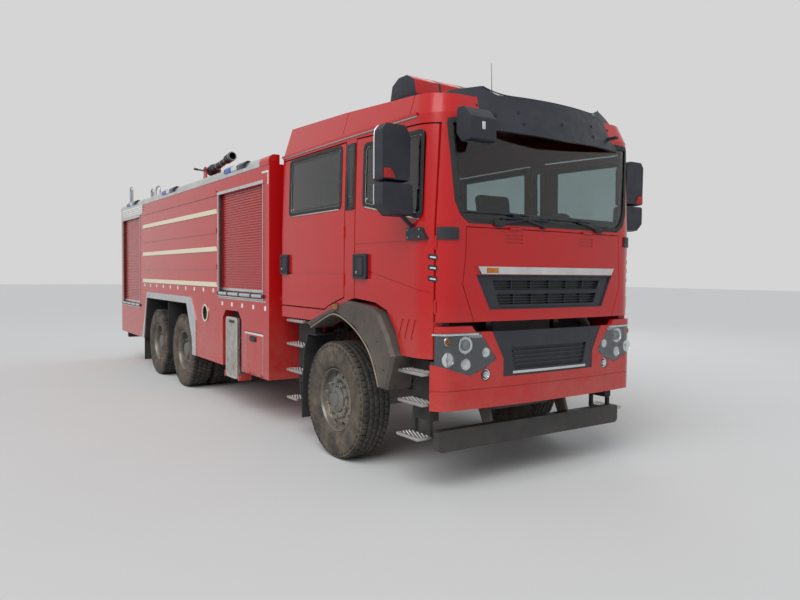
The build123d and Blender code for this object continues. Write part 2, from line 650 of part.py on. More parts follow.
def bumper_skin(inset):
    """The bumper shell, open behind and cut back at the foot of the doors."""
    with BuildPart() as skin:
        add(bumper_form(inset, BUMPER_FOOT, BUMPER_TOP))
        add(bumper_form(BUMPER_WALL, BUMPER_FOOT, BUMPER_TOP), mode=Mode.SUBTRACT)
        side_plate([(BUMPER_BACK, 600), (BUMPER_BACK, 1040), (BUMPER_UPPER_BACK, 1040),
                    (BUMPER_UPPER_BACK, 1400),
                    (-1200, 1400), (-1200, 600)], -1300, 1300, mode=Mode.SUBTRACT)
    return skin.part


FRONT_CUT = (BUMPER_FRONT - 100, BUMPER_FRONT + 150)
SEAM_Z = 820
FOG = (690, 928, 42)           # from the middle, height, radius
# Round lamps in each headlamp: from the middle, height, radius, how deep the bowl lies
LAMP_BOWLS = ((1039, 1194, 30, 20), (879, 1161, 62, 26), (1036, 1057, 52, 22), (876, 1015, 42, 26),
              (690, 1098, 36, 26))


def bumper_face(x):
    """Roughly where the bumper's front lies, at a distance from the middle."""
    return BUMPER_FRONT + 60 * (x / BUMPER_HALF) ** 2


with BuildPart() as bumper_seam:
    add(bumper_skin(0))
    add(bumper_form(PRESS_DEEP, BUMPER_FOOT, BUMPER_TOP), mode=Mode.SUBTRACT)
    block((-1300, 1300), (BUMPER_FRONT - 50, -1200), (SEAM_Z - 3, SEAM_Z + 3), mode=Mode.INTERSECT)
with BuildPart() as bumper:
    add(bumper_skin(0))
    add(bumper_seam.part, mode=Mode.SUBTRACT)
    for side in (-1, 1):
        rod((side * FOG[0], FRONT_CUT[0], FOG[1]), (side * FOG[0], FRONT_CUT[1], FOG[1]), FOG[2],
            mode=Mode.SUBTRACT)
    front_plate([(-870, BUMPER_TOP + 50), (870, BUMPER_TOP + 50), (790, 1258), (-790, 1258)], *FRONT_CUT,
                mode=Mode.SUBTRACT)
    front_plate(MIDDLE, *FRONT_CUT, mode=Mode.SUBTRACT)
    front_plate([(-634, 1250), (634, 1250), (634, 1400), (-634, 1400)], *FRONT_CUT, mode=Mode.SUBTRACT)
    for outline in (LAMP, mirrored(LAMP)):
        front_plate(outline, *FRONT_CUT, mode=Mode.SUBTRACT)
    for side in (-1, 1):
        block((side * 372, side * RAIL_OUT), (-1504, -1460 - RUN), (805, 885))
save(bumper.part, "bumper")
lamp_skin = bumper_skin(4)


def lamp_piece(outline):
    """The part of the lamp skin inside a front outline."""
    with BuildPart() as lamp:
        add(lamp_skin)
        front_plate(outline, *FRONT_CUT, mode=Mode.INTERSECT)
    return lamp.part


def fog_lamp(side):
    """A small round lamp set back in the bumper."""
    with BuildPart() as lamp:
        add(bumper_skin(14))
        rod((side * FOG[0], FRONT_CUT[0], FOG[1]), (side * FOG[0], FRONT_CUT[1], FOG[1]), FOG[2],
            mode=Mode.INTERSECT)
    return lamp.part


with BuildPart() as headlamps:
    for outline in (LAMP, mirrored(LAMP)):
        add(lamp_piece(outline))
    for side in (-1, 1):
        for x, z, radius, deep in LAMP_BOWLS:
            floor_y = bumper_face(x) + deep
            rod((side * x, FRONT_CUT[0], z), (side * x, floor_y, z), radius, mode=Mode.SUBTRACT)
            rod((side * x, floor_y - 12, z), (side * x, floor_y + 2, z), radius * 0.7)
        add(fog_lamp(side))
save(headlamps.part, "headlamps")

# Dark middle of the bumper, with a slatted recess
RECESS = [(-440, 1125), (440, 1125), (400, 950), (-400, 950)]
with BuildPart() as bumper_grille:
    add(lamp_skin)
    front_plate(MIDDLE, *FRONT_CUT, mode=Mode.INTERSECT)
    front_plate(RECESS, BUMPER_FRONT - 50, BUMPER_FRONT + 34, mode=Mode.SUBTRACT)
    for z in (985, 1020, 1055, 1090):
        block((-400 + (990 - z) * 0.1, 400 - (990 - z) * 0.1), (BUMPER_FRONT + 20, BUMPER_FRONT + 36),
              (z - 5, z + 5))
save(bumper_grille.part, "bumper_grille")

# Cab steps: silver treads on dark wells
FRONT_TREADS = ((960, -1385, -1065), (730, -1385, -1065), (460, -1330, -1050))
REAR_TREADS = ((1222, 620, 1000), (980, 620, 1000), (710, 640, 1000), (425, 760, 990))
TREAD_T = 30
WELL_X = (1040, 1200)
with BuildPart() as step_treads:
    for side in (-1, 1):
        for z, start, end in FRONT_TREADS + REAR_TREADS:
            block((side * WELL_X[1], side * 1060), (start, end), (z - TREAD_T, z))
save(step_treads.part, "step_treads")

# Arch flares over the front wheels, and the mudguards behind them
FLARE_OUTER = [(-1060, 1050), (-1045, 1070), (-966, 1210), (-838, 1368), (-690, 1425), (-300, 1455),
               (0, 1375), (489, 1212)]
FLARE_INNER = [(359, 1170), (60, 1290), (-129, 1340), (-462, 1230), (-683, 1080), (-790, 930), (-854, 769),
               (-960, 769)]
FLARE_TOP = FLOOR_Z - RUN      # the inner part hangs under the cab floor
FLARE_X = (1010, CAB_HALF + 1, BODY_HALF)
FLARE_EDGE = 28                # slope along the flare's outer rim
with BuildPart() as arch_flares:
    side_plate(FLARE_OUTER + FLARE_INNER, FLARE_X[1], FLARE_X[2] - FLARE_EDGE)
    with BuildSketch(Plane.YZ.offset(FLARE_X[2] - FLARE_EDGE)) as rim_outline:
        with BuildLine():
            Polyline(*[(aft(y), z) for y, z in FLARE_OUTER + FLARE_INNER], close=True)
        make_face()
    extrude(rim_outline.sketch, amount=FLARE_EDGE, taper=38)
    side_plate(FLARE_OUTER[:4] + [(-760, FLARE_TOP), (-60, FLARE_TOP)] + FLARE_OUTER[7:] + FLARE_INNER,
               FLARE_X[0], FLARE_X[1] + 1)
    add(cab_shell.part, mode=Mode.SUBTRACT)
    mirror(about=Plane.YZ)
save(arch_flares.part, "arch_flares")
GUARD = [(330, 1110), (520, 1110), (600, 900), (640, 560), (640, 255), (630, 255), (628, 560), (588, 895),
         (512, 1098), (330, 1098)]
WELL_IN = 980
WELL_OUT = 1060 - RUN
with BuildPart() as mudguards:
    side_plate(GUARD, 900, 1200)
    block((RAIL_OUT, 901), (590, 620), (880, 892))
    side_plate([(-1310, 1030), (-1075, 1030), (-1075, 560), (-1310, 560)], WELL_IN, WELL_OUT)
    side_plate([(620, 1225), (1000, 1225), (1000, 560), (680, 560), (655, 640)], WELL_IN, WELL_OUT)
    for start, end, z in ((-1300, -1270, 430), (-1110, -1080, 430), (780, 810, 395), (950, 980, 395)):
        block((1030, WELL_OUT), (start, end), (z, 561))
    block((RAIL_OUT + BRACKET_T, WELL_IN + 1), (-1240, -1100), (900, 960))
    block((RAIL_OUT, WELL_IN + 1), (760, 900), (900, 960))
    block((620, BODY_HALF - 8), (TANDEM_MIDDLE - 8, TANDEM_MIDDLE + 8), (420, ARCH_TOP - RUN))
    block((640, 1230), (6850, 6862), (145, BODY_FOOT - RUN))
    mirror(about=Plane.YZ)
save(mudguards.part, "mudguards")

# Visor, roof lights and the front mirror
VISOR = [(-1130, 2850), (-1100, 3000), (-930, 3095), (-680, 3150), (-570, 3085), (570, 3085), (680, 3150),
         (930, 3095), (1100, 3000), (1130, 2850), (960, 2800), (0, 2760), (-960, 2800)]


def visor_plan(height, front, half):
    with BuildSketch(Plane.XY.offset(height)) as plan:
        with BuildLine():
            ThreePointArc((-half, aft(front + 330)), (0, aft(front)), (half, aft(front + 330)))
            Line((half, aft(front + 330)), (half, aft(-900)))
            Line((half, aft(-900)), (-half, aft(-900)))
            Line((-half, aft(-900)), (-half, aft(front + 330)))
        make_face()
    return plan.sketch


PILLAR_COVER_T = 12
with BuildPart() as pillar_covers:
    add(cab_form(-PILLAR_COVER_T))
    side_plate([(-1560, 1955), (FRONT_HINGE_Y - 24, 1955), (FRONT_HINGE_Y - 24, 2045), (-1560, 2045)],
               -1200, 1200, mode=Mode.INTERSECT)
    block((-960, 960), (-1600, -1300), (1900, 2100), mode=Mode.SUBTRACT)
with BuildPart() as visor:
    loft([visor_plan(2740, -1680, 1160), visor_plan(3200, -1500, 1120)], ruled=True)
    loft([visor_plan(2739, -1650, 1130), visor_plan(3201, -1470, 1090)], ruled=True, mode=Mode.SUBTRACT)
    front_plate(VISOR, -1750, -1150, mode=Mode.INTERSECT)
    for x in (-700, 0, 700):
        block((x - 20, x + 20), (-1600, -1380), (2880, 2900))
    add(pillar_covers.part)
    add(cab_outer, mode=Mode.SUBTRACT)
save(visor.part, "visor")

BAR_Y = -560
BAR_HALF_X = 840
with BuildPart() as light_bar:
    side_plate([(BAR_Y - 190, 3215), (BAR_Y - 160, 3340), (BAR_Y - 60, 3395), (BAR_Y + 60, 3395),
                (BAR_Y + 160, 3340), (BAR_Y + 190, 3215)], -BAR_HALF_X, BAR_HALF_X)
    for x in (-600, 600):
        block((x - 60, x + 60), (BAR_Y - 60, BAR_Y + 60), (3000, 3216))
    add(cab_outer, mode=Mode.SUBTRACT)
save(Compound(light_bar.part.solids().sort_by(SortBy.VOLUME)[-1:]), "light_bar")

# Mirrors on the front doors, with the arm that carries them, as (x, height)
MIRROR_UPPER = [(1262, 2376), (1257, 2700), (1300, 2787), (1470, 2787), (1505, 2740), (1500, 2376)]
MIRROR_LOWER = [(1226, 2150), (1236, 2362), (1500, 2362), (1500, 2200), (1420, 2125), (1250, 2125)]
with BuildPart() as mirror_foot:
    add(cab_form(-28))
    side_plate([(-1375, 1955), (-1160, 1955), (-1160, 2045), (-1330, 2045)], 1100, 1210,
               mode=Mode.INTERSECT)
with BuildPart() as mirror_piece:
    for outline, slope in ((MIRROR_UPPER, 60), (MIRROR_LOWER, 50)):
        foot = min(z for x, z in outline)
        top = max(z for x, z in outline)
        front_plate(outline, -1290, -1160, radius=22)
        side_plate([(-1290, foot - 1), (-1290, foot + 10), (-1290 + slope, foot - 1)], 1200, 1520,
                   mode=Mode.SUBTRACT)
        side_plate([(-1160, top + 1), (-1160, top - 10), (-1160 - slope, top + 1)], 1200, 1520,
                   mode=Mode.SUBTRACT)
    rod((1385, -1210, 2345), (1385, -1210, 2400), 16)
    rod((1176, -1210, 2050), (1300, -1210, 2150), 16)
    add(mirror_foot.part)
    add(cab_outer, mode=Mode.SUBTRACT)
both_sides(mirror_piece.part, "mirror")

# Front mirror and its arm
with BuildPart() as front_mirror:
    side_plate([(MIRROR_FRONT, 2660), (MIRROR_FRONT, 2820), (-1640, 2900), (-1560, 2900), (-1560, 2720),
                (-1620, 2650)], -1040, -800, radius=20)
    rod((-900, -1600, 2800), (-900, -1380, 2885), 22)
    add(visor.part, mode=Mode.SUBTRACT)
    add(cab_outer, mode=Mode.SUBTRACT)
save(front_mirror.part, "front_mirror")

# Cab inside: dashboard and steering wheel, then two front seats and the crew bench
SEAT_Z = FLOOR_Z + FLOOR_T
with BuildPart() as cab_interior:
    side_plate([(-1290, 1780), (-1290, 2060), (-1120, 2075), (-960, 1990), (-990, 1820)], -1020, 1020)
    tilt = Plane(origin=(665, aft(-860), 2130), z_dir=(0, 0.55, 0.84))
    with BuildSketch(tilt) as steering_wheel:
        Circle(225)
        Circle(200, mode=Mode.SUBTRACT)
        Rectangle(410, 40)
        Circle(55)
    extrude(steering_wheel.sketch, amount=25)
    rod((665, -865, 2125), (665, -1100, 1930), 28)
save(cab_interior.part, "cab_interior")
with BuildPart() as seats:
    for x in (-665, 665):
        side_plate([(-600, SEAT_Z), (-150, SEAT_Z), (-150, 1765), (-600, 1765)], x - 200, x + 200)
        side_plate([(-650, 1760), (-120, 1760), (-100, 1900), (20, 2420), (-20, 2600), (-90, 2600),
                    (-230, 1960),
                    (-630, 1915)], x - 240, x + 240, radius=20)
    side_plate([(600, SEAT_Z), (1130, SEAT_Z), (1130, 1745), (600, 1745)], -980, 980)
    side_plate([(520, 1740), (1130, 1740), (1130, 2450), (1030, 2450), (940, 1890), (530, 1875)], -980, 980,
               radius=20)
save(seats.part, "seats")

# Body: a closed tank and its lockers, over a bed that lies on the frame
ARCH = [(4005, 400), (4030, 760), (4290, 1243), (6560, 1243), (6800, 400)]
FRONT_SHUTTER = [(1500, 1400), (2920, 1400), (2920, 2660), (1500, 2660)]
REAR_SHUTTER = [(7060, 1060), (8400, 1060), (8400, 2650), (7060, 2650)]
LOCKER = [(1480, BODY_FOOT + 10), (2050, BODY_FOOT + 10), (2050, 1020), (1480, 1020)]
STEP_RECESS = [(2150, 500), (2790, 500), (2790, 1130), (2690, 1230), (2250, 1230), (2150, 1130)]
LOCKER_T = 30
LOCKER_DEEP = 330
LOCKER_GAP = 6
LOCKER_HINGES = [(BODY_HALF, y, BODY_FOOT + 10 + LOCKER_GAP) for y in (1600, 1930)]
SHUTTER_DEEP = 60
PORT = (3454, 1148)            # filler port, behind the axle and height
PORT_R = 90
PORT_DEEP = 70
STEP_X = (1212, 1247)
STEP_PIVOT = (1230, 440)
BANDS = (2696, 2222, 1761)
STRIPES = (2465, 1990, 1534)
BAND_Y = (2990, 6835)
LOCKER_TOP = ARCH_TOP - RUN
CAP_END = 1600                 # the roof rail's painted front end stops here
RAIL_IN = 1130


def roof_rail(start, end):
    """The rounded rail along the left edge of the roof."""
    with BuildSketch(Plane.XZ.offset(-aft(end))) as section:
        with BuildLine():
            Polyline((RAIL_IN, BODY_TOP), (BODY_HALF + 6, BODY_TOP), (BODY_HALF + 6, BODY_TOP + 40))
            RadiusArc((BODY_HALF + 6, BODY_TOP + 40), (BODY_HALF - 64, BODY_TOP + RAIL_CAP), -70)
            Polyline((BODY_HALF - 64, BODY_TOP + RAIL_CAP), (RAIL_IN, BODY_TOP + RAIL_CAP),
                     (RAIL_IN, BODY_TOP))
        make_face()
    extrude(section.sketch, amount=end - start)


with BuildPart() as rail_end:
    roof_rail(BODY_FRONT, CAP_END)
    mirror(about=Plane.YZ)
with BuildPart() as body_shell:
    block((-BODY_HALF, BODY_HALF), (BODY_FRONT, BODY_REAR), (ARCH_TOP, BODY_TOP))
    add(rail_end.part)
    for side in (-1, 1):
        for outline in (FRONT_SHUTTER, REAR_SHUTTER):
            side_plate(outline, side * (BODY_HALF - SHUTTER_DEEP), side * (BODY_HALF + 10),
                       mode=Mode.SUBTRACT)
        for z in BANDS:
            side_plate([(BAND_Y[0], z - 30), (BAND_Y[0] + 30, z + 30), (BAND_Y[1] - 30, z + 30),
                        (BAND_Y[1], z - 30)], side * (BODY_HALF - 1), side * (BODY_HALF + BAND_OUT))
    block((-900, 900), (BODY_REAR - SHUTTER_DEEP, BODY_REAR + 10), (1060, 2650), mode=Mode.SUBTRACT)
save(body_shell.part, "body_shell")

# Low lockers on each side of the frame, before and behind the wheels, and the bed
with BuildPart() as lower_lockers:
    for side in (-1, 1):
        block((side * TUNNEL_HALF, side * BODY_HALF), (BODY_FRONT, BODY_REAR), (BODY_FOOT, LOCKER_TOP))
        side_plate(ARCH, side * (TUNNEL_HALF - 10), side * (BODY_HALF + 10), mode=Mode.SUBTRACT)
        side_plate(REAR_SHUTTER, side * (BODY_HALF - SHUTTER_DEEP), side * (BODY_HALF + 10),
                   mode=Mode.SUBTRACT)
        side_plate(LOCKER, side * (BODY_HALF - LOCKER_DEEP), side * (BODY_HALF + 10), mode=Mode.SUBTRACT)
        side_plate(STEP_RECESS, side * 1120, side * (BODY_HALF + 10), mode=Mode.SUBTRACT)
        rod((side * (BODY_HALF - PORT_DEEP), *PORT), (side * (BODY_HALF + 10), *PORT), PORT_R,
            mode=Mode.SUBTRACT)
        for y in (2252, 2714):
            block((side * 1090, side * 1249), (y - 13, y + 13), (400, 475))
            block((side * 1090, side * 1119), (y - 13, y + 13), (470, BODY_FOOT + 20))
            rod((side * STEP_PIVOT[0], y - 14, STEP_PIVOT[1]),
                (side * STEP_PIVOT[0], y + 14, STEP_PIVOT[1]),
                10 + RUN, mode=Mode.SUBTRACT)
        for x, y, z in LOCKER_HINGES:
            hinge((side * x, y, z), "y", "lugs")
    block((RUN - TUNNEL_HALF, TUNNEL_HALF - RUN), (BODY_FRONT, BODY_REAR), (TUNNEL_TOP, LOCKER_TOP))
    for side in (-1, 1):
        block((side * 350, side * RAIL_OUT), (BODY_FRONT + 100, BODY_REAR - 200),
              (RAIL_TOP, TUNNEL_TOP + 1))
    block((-900, 900), (BODY_REAR - SHUTTER_DEEP, BODY_REAR + 10), (1060, 2650), mode=Mode.SUBTRACT)
save(lower_lockers.part, "lower_lockers")
with BuildPart() as stripes:
    for side in (-1, 1):
        for z in STRIPES:
            side_plate([(BAND_Y[0], z - 30), (BAND_Y[0] + 30, z + 30), (BAND_Y[1] - 30, z + 30),
                        (BAND_Y[1], z - 30)], side * BODY_HALF, side * (BODY_HALF + BAND_OUT))
save(stripes.part, "stripes")


def slats(foot, top, depth):
    """Edge outline of a roller shutter: a zigzag of slats seen on end."""
    count = round((top - foot) / SLAT)
    pitch = (top - foot) / count
    points = [(0, foot)]
    for number in range(count):
        start = foot + number * pitch
        points += [(depth, start), (depth, start + pitch * 0.8), (depth - 8, start + pitch * 0.9)]
    return points + [(depth - 8, top), (0, top)]


SHUTTER_T = 28
with BuildPart() as shutters:
    for outline in (FRONT_SHUTTER, REAR_SHUTTER):
        with BuildSketch(Plane.XZ.offset(-aft(outline[1][0]))) as edge:
            with BuildLine():
                Polyline(*[(BODY_HALF - SHUTTER_DEEP + x, z) for x, z in
                           slats(outline[0][1], outline[2][1], SHUTTER_T)], close=True)
            make_face()
        extrude(edge.sketch, amount=outline[1][0] - outline[0][0])
    mirror(about=Plane.YZ)
    with BuildSketch(Plane.YZ.offset(-900)) as edge:
        with BuildLine():
            Polyline(*[(aft(BODY_REAR - SHUTTER_DEEP + y), z) for y, z in slats(1060, 2650, SHUTTER_T)],
                     close=True)
        make_face()
    extrude(edge.sketch, amount=1800)
save(shutters.part, "shutters")

# Silver trim: roof rails, shutter frames with their headers and foot bars, arch edges, port rings
FRAME_W = 14
REAR_HEADER = (6840, 8440, 2680, 2850)
FOOT_BAR_R = 22
ARCH_OUTER = [(3849, 530), (3861, 1030), (4102, 1338), (6554, 1341), (6905, 530)]
ARCH_INNER = [(6764, 530), (6560, 1243), (4290, 1243), (4030, 760), (4014, 530)]
with BuildPart() as body_trim:
    roof_rail(CAP_END, BODY_REAR)
    for outline in (FRONT_SHUTTER, REAR_SHUTTER):
        (start, foot), (end, top) = outline[0], outline[2]
        side_plate(outline, BODY_HALF, BODY_HALF + BAND_OUT, grow=FRAME_W)
        side_plate([(start - 30, top), (end + 30, top), (end + 30, top + 36), (start - 30, top + 36)],
                   BODY_HALF, BODY_HALF + BAND_OUT + 8)
        side_plate(outline, BODY_HALF - 1, BODY_HALF + BAND_OUT + 9, mode=Mode.SUBTRACT)
        rod((BODY_HALF, start - 20, foot + 30), (BODY_HALF, end + 20, foot + 30), FOOT_BAR_R)
        block((BODY_HALF - FOOT_BAR_R - 1, BODY_HALF), (start - 21, end + 21), (foot, foot + 60),
              mode=Mode.SUBTRACT)
    block((BODY_HALF, BODY_HALF + BAND_OUT), REAR_HEADER[:2], (REAR_SHUTTER[2][1] + 36, REAR_HEADER[3]))
    side_plate(ARCH_OUTER + ARCH_INNER, BODY_HALF, BODY_HALF + BAND_OUT)
    rod((BODY_HALF, *PORT), (BODY_HALF + BAND_OUT, *PORT), PORT_R + 28)
    rod((BODY_HALF - 1, *PORT), (BODY_HALF + BAND_OUT + 1, *PORT), PORT_R + 4, mode=Mode.SUBTRACT)
    mirror(about=Plane.YZ)
save(body_trim.part, "body_trim")

# Locker doors that drop open and steps that fold out, both hinged at the foot
with BuildPart() as locker_door:
    side_plate(LOCKER, BODY_HALF - LOCKER_T, BODY_HALF, grow=-LOCKER_GAP)
    block((BODY_HALF - 1, BODY_HALF + 12), (1720, 1860), (925, 960))
    for centre in LOCKER_HINGES:
        hinge(centre, "y", "sleeve")
both_sides(locker_door.part, "locker_door")
with BuildPart() as fold_step:
    side_plate([(2290, 410), (2685, 410), (2685, 1150), (2290, 1150)], *STEP_X, radius=60)
    rod((STEP_PIVOT[0], 2238, STEP_PIVOT[1]), (STEP_PIVOT[0], 2728, STEP_PIVOT[1]), 10)
both_sides(fold_step.part, "fold_step")

# Roof: tread deck, ladder with handrails, rail lamps and the monitor
with BuildPart() as roof_fittings:
    block((-RAIL_IN, RAIL_IN), (BODY_FRONT + 20, BODY_REAR - 20), (BODY_TOP, BODY_TOP + 12))
    for y in (3100, 4600):
        rod((0, y, BODY_TOP + 11), (0, y, BODY_TOP + 90), 290)
    rod((0, 6900, BODY_TOP + 11), (0, 6900, BODY_TOP + 40), 170)
    rod((0, 6900, BODY_TOP + 39), (0, 6900, 3330), 80)
    rod((0, 6900, 3300), (0, 6900, 3330), 120)
save(roof_fittings.part, "roof_fittings")
LADDER_X = (-1060, -660)
GRAB_LOOP = (1155, 6080, 6330, 3110)   # from the middle, its two feet, its top
with BuildPart() as ladder:
    for x in LADDER_X:
        with BuildLine() as route:
            FilletPolyline(
                (x, aft(BODY_REAR + LADDER_OUT), 620), (x, aft(BODY_REAR + LADDER_OUT), 3330),
                (x, aft(BODY_REAR - LADDER_OUT), 3330),
                (x, aft(BODY_REAR - LADDER_OUT), BODY_TOP + RAIL_CAP),
                radius=60)
        with BuildSketch(Plane(origin=route.wires()[0] @ 0, z_dir=route.wires()[0] % 0)) as tube:
            Circle(LADDER_R)
        sweep(tube.sketch, path=route.wires()[0])
        for z in (700, 2780):
            rod((x, BODY_REAR, z), (x, BODY_REAR + LADDER_OUT, z), 12)
    for number in range(8):
        z = 760 + number * 290
        rod((LADDER_X[0], BODY_REAR + LADDER_OUT, z), (LADDER_X[1], BODY_REAR + LADDER_OUT, z), 14)
    with BuildLine() as loop:
        FilletPolyline(*[(-GRAB_LOOP[0], aft(y), z) for y, z in (
            (GRAB_LOOP[1], BODY_TOP + RAIL_CAP), (GRAB_LOOP[1], GRAB_LOOP[3]),
            (GRAB_LOOP[2], GRAB_LOOP[3]), (GRAB_LOOP[2], BODY_TOP + RAIL_CAP))], radius=70)
    with BuildSketch(Plane(origin=loop.wires()[0] @ 0, z_dir=loop.wires()[0] % 0)) as tube:
        Circle(12)
    sweep(tube.sketch, path=loop.wires()[0])
save(ladder.part, "ladder")
RAIL_LAMPS = (2350, 5205, 7650)
with BuildPart() as body_lamps:
    for side in (-1, 1):
        for y in RAIL_LAMPS:
            front_plate([(side * (BODY_HALF - 60), BODY_TOP + 128),
                         (side * (BODY_HALF - 20), BODY_TOP + 128),
                         (side * (BODY_HALF + 24), BODY_TOP + 95), (side * (BODY_HALF + 24), BODY_TOP + 45),
                         (side * (BODY_HALF - 60), BODY_TOP + 45)], y - 330, y + 330)
        block((side * 960, side * 1200), (BODY_REAR, BODY_REAR + 25), (760, 960))
    add(body_trim.part, mode=Mode.SUBTRACT)
save(Compound([solid for solid in body_lamps.part.solids() if solid.volume > 1e5]), "body_lamps")
MONITOR_Y = 6900
PITCH_Z = 3570
DISC_TOP = 3400                # turntable under the barrel
DISC_R = 140
with BuildPart() as monitor_head:
    rod((0, MONITOR_Y, 3330 + RUN), (0, MONITOR_Y, DISC_TOP - 19), 115)
    rod((0, MONITOR_Y, DISC_TOP - 20), (0, MONITOR_Y, DISC_TOP), DISC_R)
    for side in (-1, 1):
        side_plate([(MONITOR_Y - 90, DISC_TOP - 1), (MONITOR_Y - 50, PITCH_Z),
                    (MONITOR_Y - 30, PITCH_Z + 50), (MONITOR_Y + 30, PITCH_Z + 50),
                    (MONITOR_Y + 50, PITCH_Z), (MONITOR_Y + 90, DISC_TOP - 1)],
                   side * 120, side * 145)
        rod((side * 119, MONITOR_Y, PITCH_Z), (side * 146, MONITOR_Y, PITCH_Z), 22 + RUN,
            mode=Mode.SUBTRACT)
save(monitor_head.part, "monitor_head")
BARREL_RISE = 6.6
with BuildPart() as barrel:
    with BuildSketch(Plane.XZ) as section:
        with BuildLine():
            Polyline((0, -130), (60, -130), (95, -60), (95, 90), (60, 160), (60, 200), (72, 205), (72, 225),
                     (60, 230), (52, 760), (75, 800), (78, 1050), (58, 1060), (58, 900), (0, 900),
                     (0, -130))
        make_face()
    revolve(section.sketch, axis=Axis.Z)
    with BuildSketch(Plane.YZ.offset(-144)) as trunnion:
        Circle(22)
    extrude(trunnion.sketch, amount=288)
    with BuildSketch(Plane(origin=(0, 0, -120), z_dir=(0, 0.29, -0.957))) as tiller:
        Circle(16)
    extrude(tiller.sketch, amount=980)
barrel_placed = Location((0, aft(MONITOR_Y), PITCH_Z)) * (Rotation(90 - BARREL_RISE, 0, 0) * barrel.part)
save(barrel_placed, "monitor_barrel")
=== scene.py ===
"""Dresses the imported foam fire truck: paint, rubber, glass, lamps and fittings.

All sizes are metres, in the model's own frame: +X is the truck's left, +Y its
rear, +Z up, and the ground is at zero.  aft() turns a distance behind the
front axle into a place along Y.
"""
import math

import bmesh
import bpy
from mathutils import Matrix, Vector


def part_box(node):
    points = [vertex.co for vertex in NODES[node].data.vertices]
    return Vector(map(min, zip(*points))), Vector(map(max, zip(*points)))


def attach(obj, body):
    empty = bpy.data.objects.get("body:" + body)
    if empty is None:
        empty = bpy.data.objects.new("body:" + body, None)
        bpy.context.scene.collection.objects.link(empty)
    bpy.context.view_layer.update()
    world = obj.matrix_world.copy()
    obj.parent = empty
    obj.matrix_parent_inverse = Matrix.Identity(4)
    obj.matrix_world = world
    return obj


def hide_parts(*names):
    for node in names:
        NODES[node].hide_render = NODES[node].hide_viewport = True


bl_info = {
    "name": "Foam fire truck dressing",
    "version": (1, 0, 0),
    "blender": (4, 5, 0),
    "location": "View3D > Sidebar > Fire truck",
    "description": "Adds the finishes and small fittings of a foam fire truck to its solid model",
    "category": "Object",
}

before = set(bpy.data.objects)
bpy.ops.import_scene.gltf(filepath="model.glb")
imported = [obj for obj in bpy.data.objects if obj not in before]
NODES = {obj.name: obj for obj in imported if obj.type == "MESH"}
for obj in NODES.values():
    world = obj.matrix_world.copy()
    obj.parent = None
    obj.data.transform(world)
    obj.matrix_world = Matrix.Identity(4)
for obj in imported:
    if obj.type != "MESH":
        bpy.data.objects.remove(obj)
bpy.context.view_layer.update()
CREATE = {"REGISTER", "UNDO"}


def middle_of(node):
    """The middle of a solid's box."""
    low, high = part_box(node)
    return [(a + b) / 2 for a, b in zip(low, high)]


FRONT_AXLE = middle_of("tyre_front_left")[1]
AXLE_Z = middle_of("tyre_front_left")[2]
SIDES = ("left", "right")
AXLES = ("front", "middle", "rear")


def aft(distance):
    """A place along the truck, from its distance behind the front axle."""
    return FRONT_AXLE + distance


# Settings

def colour(name, description, value):
    """A colour that the user may change."""
    return bpy.props.FloatVectorProperty(name=name, description=description, default=value, size=3,
                                         subtype="COLOR", min=0.0, max=1.0)


def length(name, description, value):
    """A length in metres that the user may change."""
    return bpy.props.FloatProperty(name=name, description=description, default=value, min=0.0,
                                   subtype="DISTANCE", unit="LENGTH")


def share(name, description, value):
    """A share from none to all that the user may change."""
    return bpy.props.FloatProperty(name=name, description=description, default=value, min=0.0, max=1.0,
                                   subtype="FACTOR")


class PaintSettings(bpy.types.PropertyGroup):
    """Colours of the truck's finishes."""

    body: colour("Body paint", "Gloss paint of the cab and body", (0.46, 0.0055, 0.0075))
    stripe: colour("Stripes", "Cream bands along the truck", (0.74, 0.66, 0.47))
    trim: colour("Dark trim", "Visor, grille and other moulded parts", (0.010, 0.012, 0.020))
    wheel: colour("Wheels", "Paint of the rims", (0.085, 0.082, 0.078))
    dust: colour("Dust", "Road dust low on the truck", (0.36, 0.30, 0.23))
    dust_cover: share("Dust cover", "How much dust lies on the lowest paint", 0.35)


class TyreSettings(bpy.types.PropertyGroup):
    """Sizes of the tyre treads."""

    groove: length("Groove depth", "How deep the tread is cut", 0.012)
    gap: length("Block gap", "Gap between two blocks of a row", 0.012)
    blocks: bpy.props.IntProperty(name="Blocks", description="Tread blocks round a tyre", default=54, min=20,
                                  max=90)


class StageSettings(bpy.types.PropertyGroup):
    """Floor, lamps and camera."""

    floor: colour("Floor", "Colour of the floor and backdrop", (0.66, 0.665, 0.66))
    even_light: bpy.props.FloatProperty(name="Even lamp", description="Strength of the wide even lamp",
                                        default=1.9, min=0.0, max=20.0)
    key_power: bpy.props.FloatProperty(name="Key lamp", description="Power of the main soft lamp",
                                       default=260.0, min=0.0, subtype="POWER", unit="POWER")
    sky: bpy.props.FloatProperty(name="Sky", description="Strength of the light from all round", default=0.42,
                                 min=0.0, max=2.0)
    lens: bpy.props.FloatProperty(name="Focal length",
                                  description="Focal length of the camera in millimetres",
                                  default=30.13, min=10.0, max=300.0)


def settings():
    """The groups of settings on the scene."""
    scene = bpy.context.scene
    return scene.fire_truck_paint, scene.fire_truck_tyres, scene.fire_truck_stage


# Modelling

ACROSS, ALONG, UP = (1, 0, 0), (0, 1, 0), (0, 0, 1)
MERGE = 0.00005  # vertices nearer than this are one


def clear_selection():
    """Leaves edit mode and deselects everything."""
    if bpy.context.object and bpy.context.object.mode != "OBJECT":
        bpy.ops.object.mode_set(mode="OBJECT")
    bpy.ops.object.select_all(action="DESELECT")


def select(*objects):
    """Selects just these objects, the first of them active."""
    clear_selection()
    for obj in objects:
        obj.select_set(True)
    bpy.context.view_layer.objects.active = objects[0]


def active():
    """The active object."""
    return bpy.context.view_layer.objects.active


